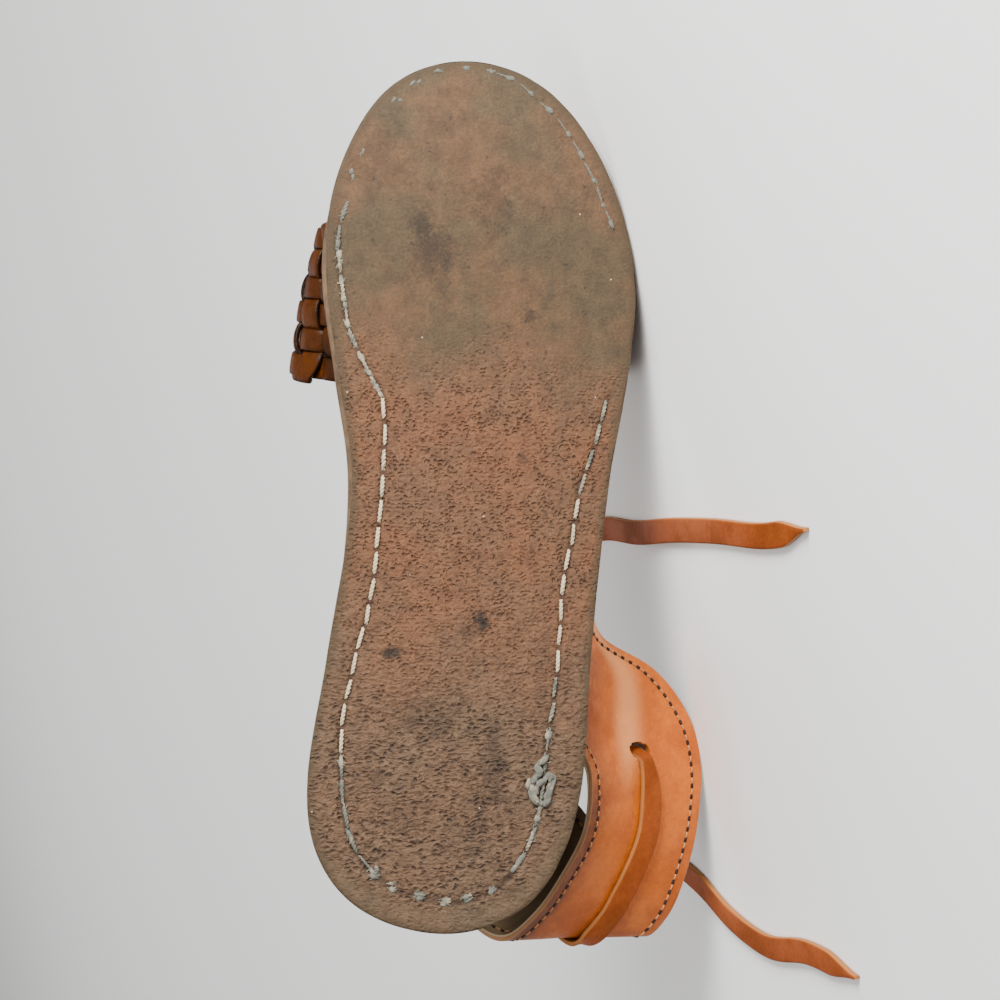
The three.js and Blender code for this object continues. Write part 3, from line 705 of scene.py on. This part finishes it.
def turn_back(at, run, to_next):
    """Share of the way over the foot of a run, slanting half way to the next run as it comes to the vamp's edge."""
    step = 1 / (long_runs - 2 * strip_edge)
    gap = turn_start / (cross_strips - 2 * strip_edge)
    near = np.clip((gap - at) / gap, 0, 1) if to_next[0] else np.zeros_like(at)
    far = np.clip((at - 1 + gap) / gap, 0, 1) if to_next[1] else np.zeros_like(at)
    slant = to_next[0] * near**turn_bend + to_next[1] * far**turn_bend
    return middle_of(run, long_runs) + turn_reach * step * slant


runs, spans = [], []
for run in range(long_runs):
    ahead = run % 2 == 0
    at = np.linspace(run_start, run_end, 90)
    index = at * (cross_strips - 2 * strip_edge) - 0.5 + strip_edge
    off = -weave_half * plait(np.clip(index, 0, cross_strips - 1) + run)
    rear, front = (-1, 1) if ahead else (1, -1)
    over = turn_back(at, run, (rear * (0 < run or not ahead), front * (run < long_runs - 1 or not ahead)))
    half = strip_half / (long_runs - 2 * strip_edge)
    span = on_vamp(vamp_sheet, at, over + half) - on_vamp(vamp_sheet, at, over - half)
    order = slice(None) if ahead else slice(None, None, -1)
    runs.append((on_vamp(vamp_sheet, at, over) + on_vamp(vamp_out, at, over) * off[:, None])[order])
    spans.append(span[order])
    if run == long_runs - 1:
        break
    angle = np.linspace(0, pi, 14)[1:-1]
    edge_at, beyond, side_out = (run_end, 1, np.sign(off[-1])) if ahead else (run_start, -1, np.sign(off[0]))
    reach = turn_reach + (1 - 2 * turn_reach) * angle / pi
    over = middle_of(run, long_runs) + reach / (long_runs - 2 * strip_edge)
    at = np.full_like(over, edge_at)
    out = on_vamp(vamp_out, at, over)
    way = beyond * unit(on_vamp(vamp_sheet, at + 0.01, over) - on_vamp(vamp_sheet, at - 0.01, over))
    turned = side_out * np.cos(angle)[:, None] * out + turn_bulge * np.sin(angle)[:, None] * way
    runs.append(on_vamp(vamp_sheet, at, over) + weave_half * turned)
    spans.append(on_vamp(vamp_sheet, at, over + half) - on_vamp(vamp_sheet, at, over - half))
span = np.vstack(spans)
strip_along(np.vstack(runs), unit(span), np.linalg.norm(span, axis=1))
vamp = join_parts("woven_vamp", strips)
mark_points(vamp, "through", np.tile(strip_section[:, 1], len(vamp.data.vertices) // len(strip_section)))


def smooth_leather(name, light, deep, dark, roughness, wrinkle, specular=0.28):
    """Full-grain aniline-dyed leather with a waxed face: a satin gloss, fine pores and clouded dye."""
    material, tree, shader = new_material(name)
    drawn = add(tree, "Attribute", attribute_name="drawn").outputs["Vector"]
    cloud = add(tree, "TexNoise", {"Vector": drawn, "Scale": 1 / 16, "Detail": 4.0, "Roughness": 0.6}).outputs["Fac"]
    cloud = add(tree, "MapRange", {"Value": cloud, "From Min": 0.35, "From Max": 0.66}, **eased).outputs[0]
    tint = add(tree, "Mix", {0: cloud, 6: colour(light), 7: colour(deep)}, **rgb).outputs[2]
    pores = add(tree, "TexVoronoi", {
        "Vector": drawn, "Scale": 1 / 0.9, "Smoothness": 0.4,
    }, feature="SMOOTH_F1").outputs["Distance"]
    fine = add(tree, "TexNoise", {"Vector": drawn, "Scale": 1 / 1.6, "Detail": 5.0, "Roughness": 0.7}).outputs["Fac"]
    speckle = add(tree, "MapRange", {
        "Value": fine, "From Min": 0.3, "From Max": 0.7, "To Min": 0.86, "To Max": 1.1,
    }).outputs[0]
    tint = add(tree, "Mix", {0: 1.0, 6: tint, 7: speckle}, **rgb, blend_type="MULTIPLY").outputs[2]
    rubbed = add(tree, "TexNoise", {"Vector": drawn, "Scale": 1 / 7, "Detail": 5.0, "Roughness": 0.75}).outputs["Fac"]
    rubbed = add(tree, "MapRange", {"Value": rubbed, "From Min": 0.62, "From Max": 0.74, "To Max": 0.45}).outputs[0]
    tint = add(tree, "Mix", {0: rubbed, 6: tint, 7: colour(dark)}, **rgb).outputs[2]
    gloss = add(tree, "MapRange", {"Value": cloud, "To Min": roughness - 0.06, "To Max": roughness + 0.1}).outputs[0]
    raised = add(tree, "Math", {0: fine, 1: wrinkle, 2: pores}, operation="MULTIPLY_ADD").outputs[0]
    relief = add(tree, "Bump", {"Height": raised, "Strength": 0.22, "Distance": 0.0004}).outputs[0]
    set_inputs(tree, shader, {"Roughness": gloss, "Normal": relief, "Specular IOR Level": specular})
    return material, tree, shader, drawn, tint


# Vamp leather: dark cognac, glossy on the strips' faces, with painted shade, nearly black, along their cut edges.
vamp_leather, tree, shader, _, tint = smooth_leather(
    "cognac_strip_leather", "#442004", "#281202", "#120601", roughness=0.42, wrinkle=1.0, specular=0.09,
)
through = add(tree, "Attribute", attribute_name="through").outputs["Fac"]
# Painted shade: the cut edges go nearly black and the darkness fades onto the faces' margins, where the strips meet.
edge = add(tree, "Math", {0: through}, operation="ABSOLUTE").outputs[0]
edge = add(tree, "MapRange", {"Value": edge, "From Min": 1.04, "From Max": 0.45, "To Max": 0.85}, **eased).outputs[0]
tint = add(tree, "Mix", {0: edge, 6: tint, 7: colour("#0c0501")}, **rgb).outputs[2]
set_inputs(tree, shader, {"Base Color": tint})
vamp.data.materials.append(vamp_leather)
lay_down(vamp, "woven_leather", "vamp")

# Heel counter: an outer leather and a lining of natural leather sewn together round all their edges. It stands on
# the sole at both sides, is free behind the heel and has slumped to the outer side.
# Each row is a place round the counter: its lower edge, on the sole's edge at a side or a free point, its upper edge,
# and how upright it stands between them.
counter_leather_thick, counter_bevel, lining_skived, skived_wide = 1.3, 0.3, 0.75, 2.8
counter_rows = [
    (92, outer, (93, 40, 11), 0.5), (80, outer, (82.7, 46.5, 23.7), 0.5), (68, outer, (73.4, 62.5, 33), 0.5),
    (56, outer, (60, 73, 37), 0.4), ((44, 40.5, 10), 0, (45, 77, 38), 0.25), ((28, 40, 15), 0, (27, 76, 38), 0.1),
    ((14, 33.5, 18), 0, (12, 72.5, 38), 0.1), ((3, 26, 20), 0, (0, 67.5, 39), 0.1),
    ((-4, 17, 22), 0, (-5.5, 60.5, 41), 0.1), ((0.5, 8, 24), 0, (7, 53.5, 44), 0.1),
    ((13.5, 2, 26.5), 0, (26, 46, 46), 0.15), ((30, -14, 23), 0, (42.5, 31.5, 46), 0.25),
    ((45, -31.5, 12.5), 0, (56, 12, 42), 0.4), (57, inner, (66, -6, 34), 0.5), (69, inner, (75, -21, 23), 0.5),
    (80, inner, (83, -30, 13), 0.5),
]
counter_ats = np.linspace(0, 1, len(counter_rows))
counter_edges = np.array([
    [*(low if side == 0 else root_point(low, side)), *high, lift] for low, side, high, lift in counter_rows
])
hole_height, outer_hole, inner_hole, hole_wide, hole_tall = 0.5625, 14.5 / 60, 47.5 / 60, 1.55, 2.5
hole_reach, hole_cut = 3, 0.75


def counter_point(u, v):
    """The counter's middle surface: u round the heel from the outer front, v from the lower edge to the upper."""
    rows = np.stack([smooth(counter_ats, counter_edges[:, k], u) for k in range(7)], -1)
    low, high, lift, v = rows[:, :3], rows[:, 3:6], rows[:, 6:], v[:, None]
    low[:, 2] = np.maximum(low[:, 2], insole_base)
    upright = low + np.c_[np.zeros((len(low), 2)), np.linalg.norm(high - low, axis=1) / 2]
    knee = (low + high) / 2 + lift * (upright - (low + high) / 2)
    return (1 - v) ** 2 * low + 2 * v * (1 - v) * knee + v * v * high


def counter_out(u, v):
    """Outward direction of the counter."""
    du = counter_point(np.minimum(u + 1e-3, 1), v) - counter_point(np.maximum(u - 1e-3, 0), v)
    dv = counter_point(u, np.minimum(v + 1e-3, 1)) - counter_point(u, np.maximum(v - 1e-3, 0))
    return outward(du, dv, counter_point(u, v))


counter_steps = np.linspace(0, 1, 601)
low_line, mid_line, high_line = (counter_point(counter_steps, np.full_like(counter_steps, v)) for v in (0.0, 0.5, 1.0))
counter_tall = np.linalg.norm(high_line - low_line, axis=1)
counter_walk = walked_along(mid_line)
counter_long = counter_walk[-1]


def flat_spot(u, v):
    """Place on the counter laid flat: how far round it and how far up it."""
    return np.stack([np.interp(u, counter_steps, counter_walk), v * np.interp(u, counter_steps, counter_tall)], -1)


# Creases, listed one by one: where each starts and ends on the counter, how deep and how wide it is.
creases = [
    ((0.13, 0.2), (0.2, 0.62), 1.0, 3.5), ((0.18, 0.12), (0.225, 0.42), 0.7, 3), ((0.255, 0.5), (0.33, 0.42), 0.35, 2),
    ((0.21, 0.75), (0.27, 0.9), 0.4, 3), ((0.4, 0.3), (0.46, 0.75), 0.5, 4), ((0.52, 0.25), (0.56, 0.7), 0.6, 4),
    ((0.63, 0.2), (0.66, 0.8), 0.5, 4), ((0.74, 0.15), (0.78, 0.6), 0.7, 4), ((0.86, 0.2), (0.83, 0.7), 0.7, 3.5),
]


def counter_slack(u, v):
    """How far the leather stands off its smooth form, in creases with raised sides."""
    spot = flat_spot(u, v)
    off = 0.25 * ripple(np.c_[spot, np.zeros(len(spot))], 22, 5)
    for start, end, deep, wide in creases:
        a, b = flat_spot(*start), flat_spot(*end)
        share = np.clip(((spot - a) @ (b - a)) / ((b - a) @ (b - a)), 0, 1)
        away = np.linalg.norm(spot - a - share[:, None] * (b - a), axis=1)
        fold = np.exp(-((away / wide) ** 2)) - 0.5 * np.exp(-((away / wide / 2) ** 2))
        off -= deep * np.sin(pi * np.clip(share, 0.05, 0.95)) * fold
    return off * soft_step(0, 0.08, v) * soft_step(0, 0.08, 1 - v)


def counter_layer(name, offset, thick, skived=0):
    """One of the counter's two leathers, with its lace holes cut and its inner face pared down towards its edges."""
    piece, u, v = new_grid(name, 300, 56)
    in_hole = np.zeros(len(u), bool)
    for hole in (outer_hole, inner_hole):
        wide = hole_wide / np.interp(hole, counter_steps, np.gradient(counter_walk, counter_steps))
        tall = hole_tall / np.interp(hole, counter_steps, counter_tall)
        around = np.c_[(u - hole) / wide, (v - hole_height) / tall]
        away = np.maximum(np.linalg.norm(around, axis=1), 1e-9)
        scale = np.where(away < hole_reach, (1 + away / hole_reach * (hole_reach - 1)) / away, 1)
        u, v = hole + around[:, 0] * scale * wide, hole_height + around[:, 1] * scale * tall
        in_hole |= away < hole_cut
    out = counter_out(np.clip(u, 0, 1), np.clip(v, 0, 1))
    tall = np.interp(u, counter_steps, counter_tall)
    edge = np.minimum.reduce([v * tall, (1 - v) * tall, u * counter_long, (1 - u) * counter_long])
    middle = counter_point(u, v) + out * (offset + counter_slack(u, v))[:, None]
    move_points(piece, middle)
    for mark, values in (("middle", middle), ("outward", out), ("edge", edge), ("height", v), ("round", u)):
        mark_points(piece, mark, values)
    bpy.ops.object.mode_set(mode="EDIT")
    bpy.ops.mesh.select_mode(type="FACE")
    bpy.ops.mesh.select_all(action="DESELECT")
    bpy.ops.object.mode_set(mode="OBJECT")
    for face in piece.data.polygons:
        face.select = any(in_hole[k] for k in face.vertices)
    bpy.ops.object.mode_set(mode="EDIT")
    bpy.ops.mesh.delete(type="FACE")
    bpy.ops.mesh.select_mode(type="VERT")
    bpy.ops.object.mode_set(mode="OBJECT")
    apply_modifier(piece, "SOLIDIFY", thickness=thick, offset=0)
    place, edge = place_of(piece), np.empty(len(piece.data.vertices))
    middle, out = np.empty((2, *place.shape))
    piece.data.attributes["edge"].data.foreach_get("value", edge)
    for mark, values in (("middle", middle), ("outward", out)):
        piece.data.attributes[mark].data.foreach_get("vector", values.reshape(-1))
        piece.data.attributes.remove(piece.data.attributes[mark])
    pared = skived * (1 - soft_step(0, skived_wide, edge)) * (((place - middle) * out).sum(1) < 0)
    move_points(piece, place + pared[:, None] * out)
    apply_modifier(piece, "BEVEL", width=counter_bevel, segments=2, limit_method="ANGLE", angle_limit=radians(55))
    bpy.ops.object.shade_smooth_by_angle(angle=radians(50))
    return piece


# Counter leather: light tan and glossy, with its dye clouded. It is darker towards the lower edge and behind the heel,
# soiled by dirt along the lower edge, painted with shade low on the outer wing's front where it meets the sole, and a
# band that slants up the outer wing is a painted highlight.
counter = counter_layer("counter_leather", counter_leather_thick / 2, counter_leather_thick)
counter_leather, tree, shader, drawn, tint = smooth_leather(
    "tan_counter_leather", "#cc6714", "#b2540e", "#602604", roughness=0.36, wrinkle=1.4,
)
edge, height, round_heel = (
    add(tree, "Attribute", attribute_name=mark).outputs["Fac"] for mark in ("edge", "height", "round")
)
cut = add(tree, "MapRange", {"Value": edge, "From Min": 0.25, "From Max": 0.0}).outputs[0]
patchy_noise = add(tree, "TexNoise", {"Vector": drawn, "Scale": 1 / 3, "Detail": 5.0, "Roughness": 0.7}).outputs["Fac"]
slant = add(tree, "Math", {0: round_heel, 1: 2.24, 2: height}, operation="MULTIPLY_ADD").outputs[0]
# Rows: darker towards the lower edge; dirt along the lower edge; darker behind the heel; painted shade low on the outer
# wing's front, beside the sole; dirt along the lower edge.
for low, high, side, start, end, dark in (
    (0.34, 0.05, height, 0.1, 0.2, 0.5), (0.14, 0.08, height, 0.25, 0.5, 0.75), (2.0, 1.0, height, 0.3, 0.5, 0.32),
    (0.9, 0.55, slant, 0.27, 0.2, 0.6), (0.11, 0.07, height, 0.26, 0.32, 0.7),
):
    darkening = patchy_noise
    for part, none, full in ((side, low, high), (round_heel, start, end)):
        here = add(tree, "MapRange", {"Value": part, "From Min": none, "From Max": full}, **eased).outputs[0]
        darkening = add(tree, "Math", {0: darkening, 1: here}, operation="MULTIPLY").outputs[0]
    darkening = add(tree, "Math", {0: darkening, 1: 2 * dark}, operation="MULTIPLY", use_clamp=True).outputs[0]
    tint = add(tree, "Mix", {0: darkening, 6: tint, 7: colour("#5a2a0c")}, **rgb).outputs[2]
# Painted highlight: a pale band slanting up the outer wing, in place of a sheen of light on it.
painted_sheen = 0.5
for part, none, full in ((slant, 0.84, 1.0), (slant, 1.19, 1.02), (round_heel, 0.31, 0.22)):
    here = add(tree, "MapRange", {"Value": part, "From Min": none, "From Max": full}, **eased).outputs[0]
    painted_sheen = add(tree, "Math", {0: painted_sheen, 1: here}, operation="MULTIPLY").outputs[0]
for mask, code in ((painted_sheen, "#f6ac6a"), (cut, "#ab7d58")):
    tint = add(tree, "Mix", {0: mask, 6: tint, 7: colour(code)}, **rgb).outputs[2]
set_inputs(tree, shader, {"Base Color": tint})
counter.data.materials.append(counter_leather)
lay_down(counter, "counter_leather", "heel_counter")

# Lining leather: undyed, matt and a little greasy, olive-beige, with paler cut edges that are pared thin.
lining = counter_layer("counter_lining", -counter_leather_thick / 2, counter_leather_thick, lining_skived)
lining_leather, tree, shader = new_material("natural_lining_leather")
drawn = add(tree, "Attribute", attribute_name="drawn").outputs["Vector"]
cloud = add(tree, "TexNoise", {"Vector": drawn, "Scale": 1 / 14, "Detail": 4.0}).outputs["Fac"]
nap = add(tree, "TexNoise", {"Vector": drawn, "Scale": 1 / 0.7, "Detail": 4.0}).outputs["Fac"]
cloud = add(tree, "MapRange", {"Value": cloud, "From Min": 0.35, "From Max": 0.65}).outputs[0]
tint = add(tree, "Mix", {0: cloud, 6: colour("#7a6647"), 7: colour("#54432b")}, **rgb).outputs[2]
edge = add(tree, "Attribute", attribute_name="edge").outputs["Fac"]
cut = add(tree, "MapRange", {"Value": edge, "From Min": 0.35, "From Max": 0.0}).outputs[0]
tint = add(tree, "Mix", {0: cut, 6: tint, 7: colour("#b39c7e")}, **rgb).outputs[2]
relief = add(tree, "Bump", {"Height": nap, "Strength": 0.3, "Distance": 0.0003}).outputs[0]
set_inputs(tree, shader, {"Base Color": tint, "Normal": relief, "Roughness": 0.7})
lining.data.materials.append(lining_leather)
lay_down(lining, "counter_leather")

# Counter stitching: thin tan thread, 3.2 mm to a stitch, set in from the upper and the lower edge. Each stitch dips
# into its holes, where dark tubes paint the holes' shade, which shows as short dashes between the stitches.
seam_inset, counter_pitch, counter_thread, hole_bore = 3.4, 3.2, 0.46, 1.1
stitch_shares, stitch_lifts, hole_lifts = (0, 0.25, 0.5, 0.72), (-0.5, 0.12, 0.12, -0.5), (-0.6, 0.08)
hole_backs = 0.15, 0.7
sewn, hole_shade_tubes = [], []
for upper in (True, False):
    inset = seam_inset / counter_tall
    rows = 1 - inset if upper else inset
    walk = walked_along(counter_point(counter_steps, rows))
    count = int(walk[-1] / counter_pitch)
    for k in range(1, count):
        us = np.interp(walk[-1] * (k + np.array(stitch_shares)) / count, walk, counter_steps)
        vs = np.interp(us, counter_steps, rows)
        if counter_point(us, vs)[:, 2].min() < insole_base + 2:
            continue
        out = counter_out(us, vs)
        base = counter_point(us, vs) + out * counter_slack(us, vs)[:, None]
        for face in (1, -1):
            lift = np.array(stitch_lifts) + counter_leather_thick
            sewn.append(tube(smooth_path(base + face * out * lift[:, None], 9), counter_thread))
            lift = np.array(hole_lifts) + counter_leather_thick
            hole = smooth_path(base[[0, 0]] + face * out[[0, 0]] * lift[:, None], 3)
            for back in hole_backs:
                hole_shade_tubes.append(tube(hole - back * unit(base[1] - base[0]), hole_bore))
counter_stitching = join_parts("counter_stitching", sewn)
tan_thread, tree, shader = new_material("tan_cotton_thread")
set_inputs(tree, shader, {"Base Color": colour("#b57f50"), "Roughness": 0.75})
counter_stitching.data.materials.append(tan_thread)
lay_down(counter_stitching, "counter_leather")
# Painted shade: dark tubes where the thread enters the leather, standing in for the shade inside the holes.
counter_hole_shade = join_parts("counter_stitch_hole_shade", hole_shade_tubes)
hole_shade, tree, shader = new_material("painted_stitch_hole_shade")
set_inputs(tree, shader, {"Base Color": colour("#2a1409"), "Roughness": 0.9})
counter_hole_shade.data.materials.append(hole_shade)
lay_down(counter_hole_shade, "counter_leather")

# Tie: one flat lace cut from smooth cowhide, grain on its face and suede on its back. It runs round the back of the
# counter, in through a hole at each side, and its two ends lie loose on the floor.
lace_width, lace_thick, lace_gap, floor_lift = 7.4, 1.8, 0.3, 1
lace_section = np.array([
    (-1, -0.55), (-0.95, -0.9), (-0.8, -1), (0, -1), (0.8, -1), (0.95, -0.9), (1, -0.55),
    (1, 0.55), (0.95, 0.9), (0.8, 1), (0, 1.05), (-0.8, 1), (-0.95, 0.9), (-1, 0.55),
])
lace_off = counter_leather_thick + lace_gap + lace_thick / 2


def lace_piece(name, path, side, up, width):
    """A length of the lace, with the way through it kept for its material."""
    piece = join_parts(name, [sweep(path, side, up, lace_section, width, lace_thick)])
    mark_points(piece, "through", np.tile(lace_section[:, 1], len(path)))
    bpy.ops.object.shade_smooth_by_angle(angle=radians(60))
    return piece


# Lace leather: brown-tan grain with a satin face, a brown-grey suede back and paler cut edges.
lace_leather, tree, shader, drawn, tint = smooth_leather(
    "tan_lace_leather", "#964612", "#7c390a", "#451c05", roughness=0.52, wrinkle=1.6, specular=0.12,
)
through = add(tree, "Attribute", attribute_name="through").outputs["Fac"]
nap = add(tree, "TexNoise", {"Vector": drawn, "Scale": 1 / 0.8, "Detail": 4.0}).outputs["Fac"]
suede = add(tree, "Mix", {0: nap, 6: colour("#3a230f"), 7: colour("#5f3c1d")}, **rgb).outputs[2]
back = add(tree, "Math", {0: through, 1: -0.8}, operation="LESS_THAN").outputs[0]
edge = add(tree, "Math", {0: through}, operation="ABSOLUTE").outputs[0]
edge = add(tree, "MapRange", {"Value": edge, "From Min": 0.95, "From Max": 0.7, "To Max": 0.8}).outputs[0]
for mask, over in ((back, suede), (edge, colour("#a8703f"))):
    tint = add(tree, "Mix", {0: mask, 6: tint, 7: over}, **rgb).outputs[2]
set_inputs(tree, shader, {"Base Color": tint})

# The run round the counter narrows and dips into the hole at each end.
dip_start, dip_end, dip_deep, hole_width, widens, bar_pressed = 1.6, 3.4, 4.8, 3.8, (-1, 16), 0.2
us = np.linspace(outer_hole - dip_start / counter_long, inner_hole + dip_start / counter_long, 240)
vs = np.full_like(us, hole_height)
ends = np.minimum(us - outer_hole, inner_hole - us) * counter_long
out = counter_out(us, vs)
side = counter_point(us, vs + 1e-3) - counter_point(us, vs - 1e-3)
way = unit(np.gradient(counter_point(us, vs), axis=0))
side = unit(side - way * (side * way).sum(1)[:, None])
sink = lace_off - bar_pressed + counter_slack(us, vs) - dip_deep * (1 - soft_step(-dip_start, dip_end, ends))
path = counter_point(us, vs) + out * sink[:, None]
width = hole_width + (lace_width - hole_width) * soft_step(*widens, ends)
bar = lace_piece("tie_round_counter", path, side, unit(np.cross(np.gradient(path, axis=0), side)), width)
bar.data.materials.append(lace_leather)
lay_down(bar, "lace_leather", "tie_bar")

# The two free ends, routed over the floor, in millimetres of the floor's own frame. Each turns from the hole until it
# lies flat, and is cut to a taper.
lace_ends = {
    "tie_end_outer": (outer_hole, [
        (-77, 6, 16), (-75.5, 18, 7.5), (-74, 32, 1.6), (-69, 52, 1), (-60, 70, 1), (-45, 77, 1), (-29, 71, 1),
        (-19, 55, 1), (-16, 34, 1), (-17, 8, 1), (-16, -20, 1), (-16, -52, 1), (-17, -84, 1), (-15, -112, 1),
    ]),
    "tie_end_inner": (inner_hole, [
        (-66, 4, 82), (-65, 5, 60), (-66, 12, 34), (-70, 22, 14), (-78, 32, 6), (-88, 44, 1), (-101, 53, 1),
        (-114, 48, 1), (-122, 32, 1), (-128, 14, 1), (-136, -4, 1), (-141, -28, 1), (-139, -56, 1), (-142, -86, 1),
    ]),
}
mouth_width, mouth_long, flat_after, flat_rate, tip_long, tip_share = 4.2, 12, 40, 0.35, 18, 0.12
for node, (hole, route) in lace_ends.items():
    at = np.array([hole]), np.array([hole_height])
    mouth = counter_point(*at)[0] - counter_out(*at)[0] * lace_off
    start = np.array(laid @ Vector(mouth)) / millimetre
    side = unit(np.array(laid.to_3x3() @ Vector(counter_point(at[0], at[1] + 1e-3)[0] - counter_point(*at)[0])))
    path = smooth_path([start, *route], 150)
    path[:, 2] = np.maximum(path[:, 2], floor_lift)
    ways = unit(np.gradient(path, axis=0))
    walked = np.linspace(0, length_of(path), len(path))
    sides = []
    for way, far in zip(ways, walked):
        level = np.cross(way, (0, 0, 1))
        level = -level if level @ side < 0 else level
        side = side + (level - side) * min(1, np.linalg.norm(level) * min(1, far / flat_after) * flat_rate)
        side = unit(side - way * (side @ way))
        sides.append(side)
    sides = np.array(sides)
    width = mouth_width + (lace_width - mouth_width) * soft_step(0, mouth_long, walked)
    width *= tip_share + (1 - tip_share) * soft_step(-1, tip_long, walked[-1] - walked)
    piece = lace_piece(node + "_lace", path, sides, np.cross(ways, sides), width)
    piece.data.materials.append(lace_leather)
    lay_down(piece, "lace_leather", node, onto=Matrix.Scale(millimetre, 4))

# Studio: a pale floor, a soft light beyond the toe beside the camera, a broad weak one overhead and a fill from behind.
# The camera looks at the sole from a little to its outer side, with the toe up.
floor_wide, camera_away, camera_lean, view_wide, sensor_wide = 6, 0.9, radians(5), 0.286, 36
bpy.ops.mesh.primitive_plane_add(size=floor_wide)
floor = bpy.context.object
floor.name = "floor"
floor_paint, tree, shader = new_material("pale_floor_paint")
set_inputs(tree, shader, {"Base Color": colour("#fbfaf8"), "Roughness": 0.9})
floor.data.materials.append(floor_paint)

aim = laid @ Vector((124, 14, 0))
to_camera = (-to_foot * cos(camera_lean) - to_outer * sin(camera_lean)).normalized()
camera = bpy.data.objects.new("camera", bpy.data.cameras.new("camera"))
bpy.context.collection.objects.link(camera)
right = to_toe.cross(to_camera).normalized()
axes = Matrix((right, to_camera.cross(right), to_camera)).transposed().to_4x4()
camera.matrix_world = Matrix.Translation(aim + camera_away * to_camera) @ axes
camera.data.lens = sensor_wide * camera_away / view_wide
bpy.context.scene.camera = camera

key = aim + 1.1 * (0.72 * to_camera + 0.62 * to_toe - 0.3 * right)
for name, place, size, watts in (
    ("toe_softbox", key, 0.5, 34), ("overhead_softbox", (-0.1, -0.1, 1.3), 1.2, 6),
    ("back_fill", (0.1, 1.0, 0.9), 0.9, 5),
):
    light = bpy.data.objects.new(name, bpy.data.lights.new(name, "AREA"))
    bpy.context.collection.objects.link(light)
    light.location = place
    light.rotation_euler = (Vector((0, 0, 0.04)) - Vector(place)).to_track_quat("-Z", "Y").to_euler()
    light.data.size, light.data.energy = size, watts
sky = bpy.data.worlds.new("studio")
sky.use_nodes = True
set_inputs(sky.node_tree, sky.node_tree.nodes["Background"], {"Color": colour("#ffffff"), "Strength": 0.36})
bpy.context.scene.world = sky
